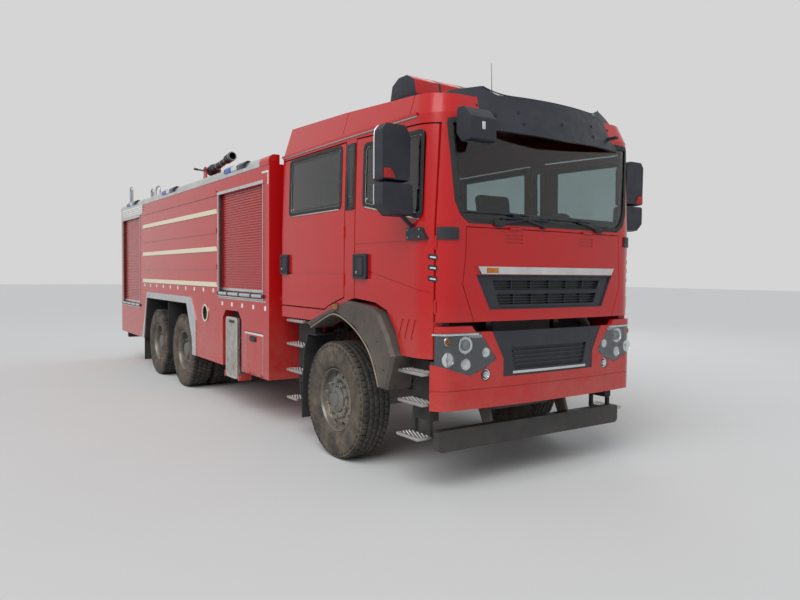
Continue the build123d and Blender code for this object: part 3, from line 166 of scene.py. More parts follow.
def settle(obj):
    """Moves an object's place, turn and scale into its mesh."""
    select(obj)
    bpy.ops.object.transform_apply(location=True, rotation=True, scale=True)
    return obj


def recalculate(obj, dissolve=False):
    """Merges an object's doubles, dissolves its slivers if asked and turns its faces outwards."""
    select(obj)
    bpy.ops.object.mode_set(mode="EDIT")
    bpy.ops.mesh.select_all(action="SELECT")
    bpy.ops.mesh.remove_doubles(threshold=MERGE)
    if dissolve:
        bpy.ops.mesh.dissolve_degenerate(threshold=MERGE)
        bpy.ops.mesh.select_all(action="SELECT")
    bpy.ops.mesh.normals_make_consistent(inside=False)
    bpy.ops.object.mode_set(mode="OBJECT")
    return obj


def apply_modifiers(obj):
    """Applies every modifier of an object."""
    select(obj)
    for modifier in list(obj.modifiers):
        bpy.ops.object.modifier_apply(modifier=modifier.name)
    return obj


def round_edges(obj, width, segments=2, angle=30):
    """Rounds an object's sharp edges."""
    bevel = obj.modifiers.new("Rounded edges", "BEVEL")
    bevel.width = width
    bevel.segments = segments
    bevel.limit_method = "ANGLE"
    bevel.angle_limit = math.radians(angle)
    return apply_modifiers(obj)


def slab(low, high, edge=0.0, segments=2):
    """A block between two corners, with rounded edges."""
    clear_selection()
    bpy.ops.mesh.primitive_cube_add(size=1, location=[(a + b) / 2 for a, b in zip(low, high)])
    obj = active()
    obj.scale = [abs(b - a) for a, b in zip(low, high)]
    settle(obj)
    return round_edges(obj, edge, segments) if edge else obj


def bar(start, end, radius, sides=24, edge=0.0, tip=None):
    """A round bar from one point to another; tip is the radius at its end."""
    clear_selection()
    start, end = Vector(start), Vector(end)
    turn = (end - start).to_track_quat("Z", "Y").to_euler()
    bpy.ops.mesh.primitive_cone_add(vertices=sides, radius1=radius, radius2=radius if tip is None else tip,
                                    depth=(end - start).length, location=(start + end) / 2, rotation=turn)
    obj = settle(active())
    return round_edges(obj, edge, 2, 40) if edge else obj


def traced(points, fill="NGON"):
    """A new outline through points in space, all selected in edit mode."""
    clear_selection()
    bpy.ops.mesh.primitive_circle_add(vertices=len(points), radius=1, fill_type=fill)
    obj = active()
    for vertex, point in zip(obj.data.vertices, points):
        vertex.co = point
    bpy.ops.object.mode_set(mode="EDIT")
    bpy.ops.mesh.select_all(action="SELECT")
    return obj


def outline_plate(points, shift, edge=0.0, segments=2):
    """A flat outline of points in space, drawn out by a shift."""
    obj = traced(points)
    bpy.ops.mesh.extrude_region_move(TRANSFORM_OT_translate={"value": shift})
    bpy.ops.object.mode_set(mode="OBJECT")
    recalculate(obj)
    return round_edges(obj, edge, segments) if edge else obj


def spun(profile, centre, steps=48, axis=ACROSS):
    """A closed profile of (along the axis, radius), spun right round an axis through a centre."""
    points = []
    for along, radius in profile:
        reach = (along, 0, radius) if axis[0] else (radius, along, 0) if axis[1] else (radius, 0, along)
        points.append(Vector(centre) + Vector(reach))
    obj = traced(points, "NOTHING")
    bpy.ops.mesh.spin(steps=steps, angle=2 * math.pi, center=centre, axis=axis)
    bpy.ops.object.mode_set(mode="OBJECT")
    return recalculate(obj, dissolve=True)


def tube(points, radius, closed=False, bend=True, sides=3):
    """A round tube along a route; bend rounds the route's corners."""
    clear_selection()
    route = bpy.data.curves.new("Route", "CURVE")
    route.dimensions = "3D"
    route.bevel_depth = radius
    route.bevel_resolution = sides
    route.use_fill_caps = True
    spline = route.splines.new("NURBS" if bend else "POLY")
    spline.points.add(len(points) - 1)
    for place, point in zip(spline.points, points):
        place.co = (*point, 1)
    spline.order_u = 3
    spline.use_endpoint_u = not closed
    spline.use_cyclic_u = closed
    route.resolution_u = 5
    obj = bpy.data.objects.new("Route", route)
    bpy.context.collection.objects.link(obj)
    select(obj)
    bpy.ops.object.convert(target="MESH")
    return recalculate(active())


def copy_to(obj, matrix):
    """A copy of an object with its own mesh, moved by a matrix."""
    select(obj)
    bpy.ops.object.duplicate()
    copy = active()
    copy.matrix_world = matrix @ copy.matrix_world
    settle(copy)
    return recalculate(copy) if matrix.determinant() < 0 else copy


def shifted(obj, shift):
    """A copy of an object, moved by a shift."""
    return copy_to(obj, Matrix.Translation(shift))


MIRROR = Matrix.Scale(-1, 4, ACROSS)


def discard(*objects):
    """Deletes objects."""
    select(*objects)
    bpy.ops.object.delete()


def moved(obj, matrix):
    """Moves an object's mesh by a matrix."""
    obj.matrix_world = matrix @ obj.matrix_world
    return settle(obj)


def turned_copies(obj, angles, centre):
    """Copies of an object turned about an upright line through a centre; the object itself goes."""
    copies = [copy_to(obj, Matrix.Translation(centre) @ Matrix.Rotation(math.radians(angle), 4, "Z"))
              for angle in angles]
    discard(obj)
    return copies


def both_sides(*objects):
    """The objects and their mirror images on the other side."""
    return [*objects, *[copy_to(obj, MIRROR) for obj in objects]]


def paint(obj, finish):
    """Gives an object the finish of a name."""
    obj.data.materials.clear()
    obj.data.materials.append(FINISHES[finish])
    return obj


def painted(finish, *objects):
    """Objects that all get one finish, as a list."""
    return [paint(obj, finish) for obj in objects]


def fit(name, parts, body, finish=None, stands_for=(), smooth=35):
    """Joins parts into one named piece that rides on a body."""
    for part in parts:
        if finish:
            paint(part, finish)
    select(*parts)
    if len(parts) > 1:
        bpy.ops.object.join()
    piece = active()
    piece.name = name
    piece.data.name = name
    bpy.ops.object.shade_smooth_by_angle(angle=math.radians(smooth))
    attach(piece, body)
    if stands_for:
        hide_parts(*stands_for)
    return piece


# Finishes

class Finish:
    """A material in the making, with short calls for its nodes."""

    def __init__(self, name, **sockets):
        self.material = bpy.data.materials.new(name)
        self.material.use_nodes = True
        self.tree = self.material.node_tree
        self.shader = self.tree.nodes["Principled BSDF"]
        for socket, value in sockets.items():
            self.shader.inputs[socket.replace("_", " ")].default_value = value
        self.place = self.node("ShaderNodeTexCoord").outputs["Object"]
        self.normal = None

    def node(self, kind, **values):
        """A new node with its options set."""
        made = self.tree.nodes.new(kind)
        for option, value in values.items():
            setattr(made, option, value)
        return made

    def wire(self, source, target):
        """Links an output, or sets a plain value."""
        if isinstance(source, bpy.types.NodeSocket):
            self.tree.links.new(source, target)
        else:
            target.default_value = source

    def stretched(self, scale):
        """Object coordinates with each axis scaled."""
        mapping = self.node("ShaderNodeMapping")
        self.wire(self.place, mapping.inputs["Vector"])
        mapping.inputs["Scale"].default_value = scale
        return mapping.outputs["Vector"]

    def noise(self, scale, detail=4.0, roughness=0.55, stretch=None):
        """Clouds of a size, from zero to one."""
        made = self.node("ShaderNodeTexNoise")
        self.wire(self.stretched(stretch) if stretch else self.place, made.inputs["Vector"])
        made.inputs["Scale"].default_value = scale
        made.inputs["Detail"].default_value = detail
        made.inputs["Roughness"].default_value = roughness
        return made.outputs["Fac"]

    def cells(self, scale, feature="F1", stretch=None):
        """Distance to the nearest of scattered points."""
        made = self.node("ShaderNodeTexVoronoi", feature=feature)
        self.wire(self.stretched(stretch) if stretch else self.place, made.inputs["Vector"])
        made.inputs["Scale"].default_value = scale
        return made.outputs["Distance"]

    def waves(self, scale, direction="X", distortion=0.0):
        """Even bands across one direction."""
        made = self.node("ShaderNodeTexWave", bands_direction=direction)
        self.wire(self.place, made.inputs["Vector"])
        made.inputs["Scale"].default_value = scale
        made.inputs["Distortion"].default_value = distortion
        return made.outputs["Fac"]

    def height(self):
        """How high a point lies above the ground."""
        made = self.node("ShaderNodeSeparateXYZ")
        self.wire(self.place, made.inputs["Vector"])
        return made.outputs["Z"]

    def spread(self, source, from_low, from_high, to_low, to_high):
        """Maps one range to another and keeps within it."""
        made = self.node("ShaderNodeMapRange", clamp=True)
        self.wire(source, made.inputs["Value"])
        for socket, value in zip(("From Min", "From Max", "To Min", "To Max"),
                                 (from_low, from_high, to_low, to_high)):
            made.inputs[socket].default_value = value
        return made.outputs["Result"]

    def sum(self, operation, first, second):
        """One step of arithmetic."""
        made = self.node("ShaderNodeMath", operation=operation)
        self.wire(first, made.inputs[0])
        self.wire(second, made.inputs[1])
        return made.outputs["Value"]

    def blend(self, factor, first, second):
        """A mix of two colours."""
        made = self.node("ShaderNodeMix", data_type="RGBA")
        self.wire(factor, made.inputs[0])
        for source, socket in ((first, made.inputs[6]), (second, made.inputs[7])):
            self.wire(source if isinstance(source, bpy.types.NodeSocket) else (*source, 1.0), socket)
        return made.outputs[2]

    def bump(self, source, strength, distance):
        """Raises the surface by a pattern, over what is there."""
        made = self.node("ShaderNodeBump")
        made.inputs["Strength"].default_value = strength
        made.inputs["Distance"].default_value = distance
        self.wire(source, made.inputs["Height"])
        if self.normal:
            self.wire(self.normal, made.inputs["Normal"])
        self.normal = made.outputs["Normal"]
        self.wire(self.normal, self.shader.inputs["Normal"])
        return self

    def done(self, base, roughness):
        """Sets the colour and the roughness, and gives the material."""
        self.wire(base if isinstance(base, bpy.types.NodeSocket) else (*base, 1.0),
                  self.shader.inputs["Base Color"])
        self.wire(roughness, self.shader.inputs["Roughness"])
        return self.material


def toned(base, factor, lift=0.0):
    """A colour made darker or paler."""
    return tuple(min(1.0, channel * factor + lift) for channel in base)


def dust_mask(finish, cover, top=1.5, foot=0.3):
    """Where road dust lies: thick low down, in patches."""
    low = finish.spread(finish.height(), foot, top, 1.0, 0.0)
    patches = finish.spread(finish.noise(3.2, 6.0, 0.65), 0.35, 0.75, 0.2, 1.0)
    return finish.sum("MULTIPLY", finish.sum("MULTIPLY", low, patches), cover)


def gloss_paint(name, base, dust, cover, metal=0.0, depth=0.85):
    """Gloss paint with a clear coat, faint ripple and dust low down."""
    finish = Finish(name, Metallic=metal, Coat_Weight=0.3, Coat_Roughness=0.08, Specular_IOR_Level=0.35)
    shade = finish.spread(finish.noise(1.7, 3.0), 0.3, 0.7, depth, 1.0)
    tone = finish.blend(shade, toned(base, 0.72), base)
    mask = dust_mask(finish, cover)
    finish.bump(finish.noise(55.0, 2.0), 0.05, 0.002)
    rough = finish.sum("ADD", finish.spread(finish.noise(9.0, 5.0), 0.3, 0.8, 0.16, 0.28),
                       finish.sum("MULTIPLY", mask, 0.5))
    return finish.done(finish.blend(mask, tone, dust), rough)


def moulded_plastic(name, base, grain=260.0, rough=(0.42, 0.58), cover=0.25, dust=(0.30, 0.26, 0.21)):
    """Moulded plastic with a fine grain and worn, dusty patches."""
    finish = Finish(name)
    mask = dust_mask(finish, cover, top=1.7)
    worn = finish.spread(finish.noise(6.0, 6.0), 0.35, 0.75, 0.0, 0.6)
    tone = finish.blend(worn, base, toned(base, 1.7, 0.006))
    finish.bump(finish.noise(grain, 2.0), 0.18, 0.001)
    roughness = finish.spread(finish.noise(14.0, 4.0), 0.3, 0.7, *rough)
    return finish.done(finish.blend(mask, tone, dust), roughness)


def rolled_metal(name, base, rough=(0.24, 0.42), grain=(4.0, 4.0, 160.0), metal=1.0):
    """Drawn or rolled metal with fine lines and dull patches."""
    finish = Finish(name, Metallic=metal)
    lines = finish.noise(6.0, 3.0, 0.6, stretch=grain)
    dull = finish.noise(5.0, 6.0, 0.6)
    tone = finish.blend(finish.spread(dull, 0.3, 0.75, 0.0, 1.0), base, toned(base, 0.74))
    finish.bump(lines, 0.12, 0.0006)
    return finish.done(tone, finish.spread(finish.sum("ADD", lines, dull), 0.7, 1.4, *rough))


def tread_plate(name, base):
    """Aluminium plate with raised bars in a basket pattern."""
    finish = Finish(name, Metallic=0.9)
    first = finish.spread(finish.cells(34.0, stretch=(1.0, 2.6, 1.0)), 0.16, 0.3, 1.0, 0.0)
    second = finish.spread(finish.cells(34.0, stretch=(2.6, 1.0, 1.0)), 0.16, 0.3, 1.0, 0.0)
    bars = finish.sum("MAXIMUM", first, second)
    finish.bump(bars, 0.6, 0.003)
    grime = finish.spread(finish.noise(11.0, 6.0), 0.35, 0.75, 0.1, 0.8)
    tone = finish.blend(finish.sum("MULTIPLY", grime, finish.sum("SUBTRACT", 1.0, bars)), base,
                        (0.22, 0.19, 0.15))
    return finish.done(tone, finish.spread(grime, 0.0, 1.0, 0.3, 0.6))


def rubber(name, base, dust, cover):
    """Tyre rubber with dust rubbed into it and a fine grain."""
    finish = Finish(name)
    patches = finish.spread(finish.noise(7.0, 8.0, 0.7), 0.38, 0.68, 0.0, cover)
    finish.bump(finish.noise(90.0, 4.0), 0.25, 0.0012)
    return finish.done(finish.blend(patches, base, dust),
                       finish.spread(finish.noise(12.0, 4.0), 0.3, 0.7, 0.72, 0.92))


def clear_glass(name, tint, smear=0.04, through=1.0):
    """Tinted glass with faint smears."""
    finish = Finish(name, Transmission_Weight=through, IOR=1.45)
    smears = finish.noise(4.0, 7.0, 0.7, stretch=(1.0, 1.0, 2.5))
    tone = finish.blend(finish.spread(smears, 0.3, 0.8, 0.0, 0.5), tint, toned(tint, 0.85))
    return finish.done(tone, finish.spread(smears, 0.45, 0.8, 0.0, smear))


def lamp_lens(name, tint, through=0.75, rib=0.0, rough=(0.08, 0.2)):
    """Coloured lamp plastic, with prisms pressed into it."""
    finish = Finish(name, Transmission_Weight=through, IOR=1.49)
    tone = finish.blend(finish.spread(finish.noise(30.0, 3.0), 0.3, 0.7, 0.0, 0.5), tint, toned(tint, 0.8))
    if rib:
        finish.bump(finish.cells(rib, feature="DISTANCE_TO_EDGE"), 0.5, 0.004)
    return finish.done(tone, finish.spread(finish.noise(25.0), 0.3, 0.7, *rough))


def woven_cloth(name, base):
    """Seat cloth with a weave and lighter threads."""
    finish = Finish(name, Sheen_Weight=0.35, Sheen_Roughness=0.5)
    warp = finish.waves(95.0, "X", 0.4)
    weft = finish.waves(95.0, "Z", 0.4)
    weave = finish.sum("MULTIPLY", warp, weft)
    finish.bump(weave, 0.35, 0.0012)
    return finish.done(finish.blend(weave, base, toned(base, 1.9, 0.01)),
                       finish.spread(finish.noise(9.0), 0.3, 0.7, 0.8, 0.95))


def make_finishes():
    """Every finish by name."""
    look = settings()[0]
    dust = tuple(look.dust)
    cover = look.dust_cover
    made = {
        "red": gloss_paint("Fire red gloss paint", tuple(look.body), dust, cover),
        "roof": gloss_paint("Fire red roof paint", tuple(look.body), dust, 0.0),
        "cream": gloss_paint("Cream band paint", tuple(look.stripe), dust, 0.2),
        "shutter": gloss_paint("Red shutter slats", toned(look.body, 0.92), dust, 0.25, metal=0.15),
        "trim": moulded_plastic("Dark trim plastic", tuple(look.trim), cover=0.1),
        "flare": moulded_plastic("Weathered flare plastic", (0.045, 0.034, 0.030), cover=0.55,
                                 rough=(0.55, 0.75)),
        "seal": moulded_plastic("Black rubber seal", (0.012, 0.012, 0.013), grain=120.0, rough=(0.6, 0.8),
                                cover=0.1),
        "aluminium": rolled_metal("Satin aluminium", (0.72, 0.73, 0.74)),
        "steel": rolled_metal("Bright steel tube", (0.46, 0.47, 0.49), rough=(0.28, 0.45)),
        "chrome": rolled_metal("Polished reflector", (0.86, 0.87, 0.88), rough=(0.03, 0.10)),
        "tread_plate": tread_plate("Tread plate", (0.62, 0.60, 0.56)),
        "tyre": rubber("Tyre tread rubber", (0.022, 0.021, 0.020), (0.105, 0.088, 0.070), 0.55),
        "sidewall": rubber("Dusty sidewall rubber", (0.040, 0.034, 0.029), (0.155, 0.120, 0.088), 0.9),
        "wheel": gloss_paint("Wheel paint", tuple(look.wheel), dust, 0.75, metal=0.35),
        "nut": rolled_metal("Dusty wheel nut", (0.42, 0.40, 0.37), rough=(0.35, 0.6)),
        "flare_edge": moulded_plastic("Worn flare edge", (0.20, 0.165, 0.13), cover=0.3, rough=(0.5, 0.7)),
        "chassis": gloss_paint("Chassis black", (0.016, 0.016, 0.018), dust, 0.55),
        "casting": moulded_plastic("Painted casting", (0.07, 0.075, 0.08), grain=70.0, rough=(0.5, 0.75),
                                   cover=0.5),
        "glass": clear_glass("Green tinted glass", (0.46, 0.54, 0.545)),
        "projector": lamp_lens("Projector lamp lens", (0.42, 0.46, 0.50), through=0.2),
        "housing": rolled_metal("Smoked lamp housing", (0.10, 0.105, 0.115), rough=(0.12, 0.25)),
        "visor_plate": moulded_plastic("Grey visor plate", (0.075, 0.080, 0.088), cover=0.0),
        "beacon_dark": lamp_lens("Dark beacon middle", (0.10, 0.006, 0.008), through=0.1, rib=45.0,
                                 rough=(0.3, 0.45)),
        "glass_black": lamp_lens("Dark marker lens", (0.012, 0.012, 0.014), through=0.1, rib=80.0),
        "step_metal": rolled_metal("Worn step metal", (0.50, 0.49, 0.47), rough=(0.3, 0.55), metal=0.9),
        "underrun": moulded_plastic("Black underrun bar", (0.010, 0.010, 0.011), cover=0.12),
        # Near-black plate behind the grille: it stands for the radiator core, and its darkness is also
        # painted shade of the space behind the slots.
        "core_and_shade": moulded_plastic("Dark grille core", (0.008, 0.008, 0.009), grain=400.0, cover=0.0),
        "lens": lamp_lens("Clear lamp lens", (0.92, 0.94, 0.95), through=1.0),
        "amber": lamp_lens("Amber lamp lens", (0.90, 0.30, 0.02), rib=90.0),
        "lamp_red": lamp_lens("Red lamp lens", (0.55, 0.012, 0.012), through=0.35, rib=70.0),
        "beacon": lamp_lens("Red beacon dome", (0.50, 0.010, 0.012), through=0.15, rib=45.0,
                            rough=(0.3, 0.45)),
        "blue": lamp_lens("Blue lamp lens", (0.05, 0.16, 0.75), through=0.4, rib=80.0),
        # White lamp lens; it also colours the painted highlight on the front mirror.
        "white_lens_and_highlight": lamp_lens("White lamp lens", (0.85, 0.88, 0.92), through=0.3, rib=80.0),
        "reflector": lamp_lens("White reflective tape", (0.82, 0.83, 0.84), through=0.0, rib=160.0),
        "cloth": woven_cloth("Grey seat cloth", (0.075, 0.078, 0.085)),
        "dash": moulded_plastic("Dashboard plastic", (0.06, 0.06, 0.065), cover=0.0),
        "mirror": clear_glass("Mirror glass", (0.9, 0.9, 0.9), smear=0.02, through=0.0),
        "white_paint": gloss_paint("White trim paint", (0.68, 0.68, 0.66), dust, 0.2),
    }
    made["mirror"].node_tree.nodes["Principled BSDF"].inputs["Metallic"].default_value = 1.0
    return made


FINISHES = {}

# The solids of the model that take each finish
SOLIDS = {
    "red": ("cab_shell", "front_door_{side}", "rear_door_{side}", "service_flap", "bumper", "body_shell",
            "lower_lockers", "locker_door_{side}", "monitor_head"),
    "roof": ("roof_fittings",),
    "glass": ("cab_glass", "front_door_glass_{side}", "rear_door_glass_{side}"),
    "trim": ("grille", "bumper_grille", "visor", "mirror_{side}", "front_mirror", "monitor_barrel"),
    "flare": ("arch_flares",),
    "seal": ("mudguards",),
    "aluminium": ("grille_bar", "body_trim"),
    "tread_plate": ("step_treads", "fold_step_{side}"),
    "shutter": ("shutters",),
    "underrun": ("underrun_bars",),
    "steel": ("ladder",),
    "cream": ("stripes",),
    "beacon": ("light_bar",),
    "white_lens_and_highlight": ("body_lamps",),
    "housing": ("headlamps",),
    "dash": ("cab_interior",),
    "cloth": ("seats",),
    "chassis": ("frame", "front_axle", "tie_rod", "drive_axles"),
    "casting": ("knuckle_{side}", "powertrain"),
    "tyre": [f"tyre_{axle}_{{side}}" for axle in AXLES],
    "wheel": [f"rim_{axle}_{{side}}" for axle in AXLES],
}
SOLID_FINISH = {node.format(side=side): finish for finish, nodes in SOLIDS.items() for node in nodes
                for side in SIDES}


class FIRETRUCK_OT_finishes(bpy.types.Operator):
    """Makes every finish and gives each solid of the model its own"""

    bl_idname = "fire_truck.finishes"
    bl_label = "Finishes"
    bl_options = CREATE

    def execute(self, context):
        FINISHES.update(make_finishes())
        for name, solid in NODES.items():
            finish = FINISHES[SOLID_FINISH[name]]
            if not solid.material_slots:
                solid.data.materials.append(finish)
            for slot in solid.material_slots:
                slot.material = finish
        return {"FINISHED"}


# Stage

EYE = (-4.123, -8.8515, 1.699)  # the camera's place
YAW, PITCH, ROLL = 34.198, -2.278, 0.541


def aimed(direction):
    """The turn of a lamp that shines in a direction."""
    return direction.to_track_quat("-Z", "Y").to_euler()


class FIRETRUCK_OT_stage(bpy.types.Operator):
    """Adds the floor, the soft lamps, the sky and the camera"""

    bl_idname = "fire_truck.stage"
    bl_label = "Stage"
    bl_options = CREATE

    def execute(self, context):
        stage = settings()[2]
        self.add_floor(stage)
        self.add_lamps(stage)
        self.add_sky(stage)
        self.add_camera(stage)
        return {"FINISHED"}

    def add_floor(self, stage):
        """A wide pale floor."""
        clear_selection()
        bpy.ops.mesh.primitive_plane_add(size=160, location=(0, 0, 0))
        floor = active()
        floor.name = "Floor"
        finish = Finish("Pale floor")
        tone = tuple(stage.floor)
        tone = finish.blend(finish.spread(finish.noise(0.8, 4.0), 0.3, 0.7, 0.0, 1.0), tone,
                            toned(tone, 0.985))
        floor.data.materials.append(finish.done(tone, 0.9))

    def add_lamps(self, stage):
        """A wide even lamp from high on the right, and two soft ones that draw highlights."""
        clear_selection()
        bpy.ops.object.light_add(type="SUN", rotation=aimed(Vector((9.0, 5.0, -9.5))))
        even = active()
        even.name = "Even lamp"
        even.data.energy = stage.even_light
        even.data.angle = math.radians(50)
        lamps = (("Key lamp", (-7.5, -11.0, 9.5), 7.0, 1.0), ("Back lamp", (9.0, 6.0, 9.0), 8.0, 0.8))
        for name, place, size, share_of_key in lamps:
            clear_selection()
            bpy.ops.object.light_add(type="AREA", location=place)
            lamp = active()
            lamp.name = name
            lamp.data.shape = "DISK"
            lamp.data.size = size
            lamp.data.energy = stage.key_power * share_of_key
            lamp.rotation_euler = aimed(Vector((0, -1.0, 1.4)) - Vector(place))

    def add_sky(self, stage):
        """Even light from all round; the camera, glass and metal see a paler backdrop."""
        world = bpy.context.scene.world or bpy.data.worlds.new("Sky")
        bpy.context.scene.world = world
        world.use_nodes = True
        nodes, links = world.node_tree.nodes, world.node_tree.links
        nodes.clear()
        rays = nodes.new("ShaderNodeLightPath")
        seen, shown = nodes.new("ShaderNodeMath"), nodes.new("ShaderNodeMath")
        seen.operation = shown.operation = "MAXIMUM"
        links.new(rays.outputs["Is Camera Ray"], seen.inputs[0])
        links.new(rays.outputs["Is Glossy Ray"], seen.inputs[1])
        links.new(seen.outputs[0], shown.inputs[0])
        links.new(rays.outputs["Is Transmission Ray"], shown.inputs[1])
        light = nodes.new("ShaderNodeBackground")
        light.inputs["Color"].default_value = (0.93, 0.96, 1.0, 1.0)
        light.inputs["Strength"].default_value = stage.sky
        backdrop = nodes.new("ShaderNodeBackground")
        backdrop.inputs["Color"].default_value = (*stage.floor, 1.0)
        mixed = nodes.new("ShaderNodeMixShader")
        links.new(shown.outputs[0], mixed.inputs[0])
        links.new(light.outputs[0], mixed.inputs[1])
        links.new(backdrop.outputs[0], mixed.inputs[2])
        output = nodes.new("ShaderNodeOutputWorld")
        links.new(mixed.outputs[0], output.inputs["Surface"])

    def add_camera(self, stage):
        """The photograph's camera, from its solved place and turn."""
        yaw, pitch, roll = (math.radians(angle) for angle in (YAW, PITCH, ROLL))
        ahead = Vector((math.sin(yaw) * math.cos(pitch), math.cos(yaw) * math.cos(pitch), math.sin(pitch)))
        right = Vector((math.cos(yaw), -math.sin(yaw), 0))
        up = right.cross(ahead)
        right, up = (math.cos(roll) * right + math.sin(roll) * up,
                     math.cos(roll) * up - math.sin(roll) * right)
        clear_selection()
        bpy.ops.object.camera_add(location=EYE)
        camera = active()
        camera.name = "Camera"
        camera.matrix_world = Matrix.Translation(EYE) @ Matrix((right, up, -ahead)).transposed().to_4x4()
        camera.data.lens = stage.lens
        camera.data.clip_end = 300
        bpy.context.scene.camera = camera
        bpy.context.scene.view_settings.view_transform = "Standard"


# Tyres

TWIN_GAP = 0.040  # between the two tyres of a pair
TWIN_WIDTH = (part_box("tyre_middle_left")[1][0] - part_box("tyre_middle_left")[0][0] - TWIN_GAP) / 2
TYRE_R = (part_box("tyre_front_left")[1][2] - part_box("tyre_front_left")[0][2]) / 2
RIM_R = 0.292
TREAD_HALF = 0.128
# Rows of tread blocks: their places across the tyre, and a block's width
RIB_ROWS = (-0.105, -0.0525, 0.0, 0.0525, 0.105), 0.044
DRIVE_ROWS = (-0.100, -0.034, 0.034, 0.100), 0.058


def tyre_section(width, groove):
    """A closed section of a tyre: (across, radius), across from its middle."""
    half = width / 2
    crown = TYRE_R - groove
    outer = [(TREAD_HALF + 0.010, crown - 0.001), (half - 0.014, crown - 0.022),
             (half - 0.006, crown - 0.050), (half - 0.0015, crown - 0.090), (half, crown - 0.125),
             (half - 0.004, crown - 0.160), (half - 0.015, crown - 0.195), (half - 0.018, crown - 0.199),
             (half - 0.016, crown - 0.203), (half - 0.030, crown - 0.226), (half - 0.038, RIM_R + 0.001),
             (half - 0.050, RIM_R - 0.003)]
    right = [(-across, radius) for across, radius in reversed(outer)]
    return right + [(0.0, crown)] + outer + [(0.0, RIM_R)]


def tread_block(across, wide, long, groove, slant):
    """One block of a tread row, at the top of the tyre."""
    half_long, half_wide = long / 2, wide / 2
    crown = TYRE_R - groove - 0.004
    points = [(across - half_wide, -half_long + slant, crown),
              (across + half_wide, -half_long - slant, crown), (across + half_wide, half_long - slant, crown),
              (across - half_wide, half_long + slant, crown)]
    return outline_plate(points, (0, 0, groove + 0.0038), 0.003, 1)


def round_copies(obj, count, centre, offset=0.0):
    """Copies of an object round the axle line, joined as one mesh."""
    mesh = bmesh.new()
    for number in range(count):
        turn = Matrix.Rotation(2 * math.pi * (number + offset) / count, 4, "X")
        start = len(mesh.verts)
        mesh.from_mesh(obj.data)
        mesh.verts.ensure_lookup_table()
        bmesh.ops.transform(mesh, matrix=Matrix.Translation(centre) @ turn, verts=mesh.verts[start:])
    mesh.to_mesh(obj.data)
    mesh.free()
    obj.data.update()
    return obj


def make_tyre(centre, width, driven):
    """A tyre with its casing, tread rows and shoulder lugs."""
    look = settings()[1]
    casing = spun([(centre[0] + across, radius) for across, radius in tyre_section(width, look.groove)],
                  (0, centre[1], centre[2]), steps=96)
    paint(casing, "sidewall")
    parts = [casing]
    pitch = 2 * math.pi * TYRE_R / look.blocks
    rows, wide = DRIVE_ROWS if driven else RIB_ROWS
    for number, across in enumerate(rows):
        edge_row = number in (0, len(rows) - 1)
        gap = look.gap if driven or edge_row else 0.0022
        slant = 0.006 * (-1) ** number if driven or not edge_row else 0.0
        block = tread_block(across, wide, pitch - gap, look.groove, slant)
        parts.append(paint(round_copies(block, look.blocks, centre, 0.5 * (number % 2)), "tyre"))
    for across in (-width / 2 + 0.011, width / 2 - 0.011):
        sign = 1 if across > 0 else -1
        crown = TYRE_R - look.groove
        lug = [(across - sign * 0.014, -0.014, crown - 0.010), (across + sign * 0.006, -0.014, crown - 0.034),
               (across + sign * 0.006, 0.014, crown - 0.034), (across - sign * 0.014, 0.014, crown - 0.010)]
        block = outline_plate(lug, (sign * 0.002, 0, 0.008), 0.002, 1)
        parts.append(paint(round_copies(block, look.blocks, centre, 0.0), "tyre"))
    return parts


class FIRETRUCK_OT_tyres(bpy.types.Operator):
    """Models the tyres with their treads and dusty sidewalls"""

    bl_idname = "fire_truck.tyres"
    bl_label = "Tyres"
    bl_options = CREATE

    def execute(self, context):
        for axle in AXLES:
            node = f"tyre_{axle}_left"
            low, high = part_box(node)
            centre = middle_of(node)
            if axle == "front":
                parts = make_tyre(centre, high[0] - low[0], False)
            else:
                apart = TWIN_WIDTH + TWIN_GAP
                parts = make_tyre((centre[0] + apart / 2, *centre[1:]), TWIN_WIDTH, True)
                parts += [shifted(part, (-apart, 0, 0)) for part in list(parts)]
            tyre = fit(f"Tyre_{axle}_left", parts, f"wheel_{axle}_left", stands_for=(node,),
                       smooth=50)
            twin = copy_to(tyre, MIRROR)
            fit(f"Tyre_{axle}_right", [twin], f"wheel_{axle}_right",
                stands_for=(f"tyre_{axle}_right",), smooth=50)
        return {"FINISHED"}


# Surfaces that the fittings lie on

CAB_HALF, CAB_REAR, CAB_BELT, CAB_GUTTER = 1.175, 1.245, 2.080, 2.900
CAB_DRAFT = 0.020  # how far each side leans in from the belt to the gutter
CAB_FRONT, CAB_BOW, CAB_CORNER = -1.530, 0.055, 0.250
BUMPER_HALF, BUMPER_FRONT, BUMPER_BOW = 1.145, -1.545, 0.060
MIRROR_FRONT, MIRROR_BACK = -1.290, -1.160
BODY_HALF, BODY_REAR, BODY_TOP = 1.250, 8.560, 2.850


def bowed(across, half, front, bow, corner):
    """Where a bowed front with rounded corners lies, at a distance from the middle."""
    across = min(abs(across), half - 0.0005)
    reach = (half * half + bow * bow) / (2 * bow)
    middle = half - corner
    if across <= middle * reach / (reach - corner):
        return front + reach - math.sqrt(reach * reach - across * across)
    turn = front + reach - math.sqrt((reach - corner) ** 2 - middle * middle)
    return turn - math.sqrt(max(0.0, corner * corner - (across - middle) ** 2))


def on_plan(line, x, z, lift):
    """A point on a front whose plan is given by a line, lifted off it."""
    slope = (line(abs(x) + 0.001) - line(abs(x) - 0.001)) / 0.002
    size = math.hypot(slope, 1.0)
    lean = math.copysign(slope / size * lift, x)
    return Vector((x + lean, aft(line(abs(x)) - lift / size), z))


def cab_rise(z):
    """How far up from the belt to the gutter a height lies."""
    return min(max((z - CAB_BELT) / (CAB_GUTTER - CAB_BELT), 0.0), 1.0)


def on_cab_front(x, z, lift=0.0):
    """A point on the cab's front."""
    rise = cab_rise(z)
    half, front = CAB_HALF - CAB_DRAFT * rise, CAB_FRONT + 0.025 * rise
    return on_plan(lambda across: bowed(across, half, front, CAB_BOW, CAB_CORNER), x, z, lift)


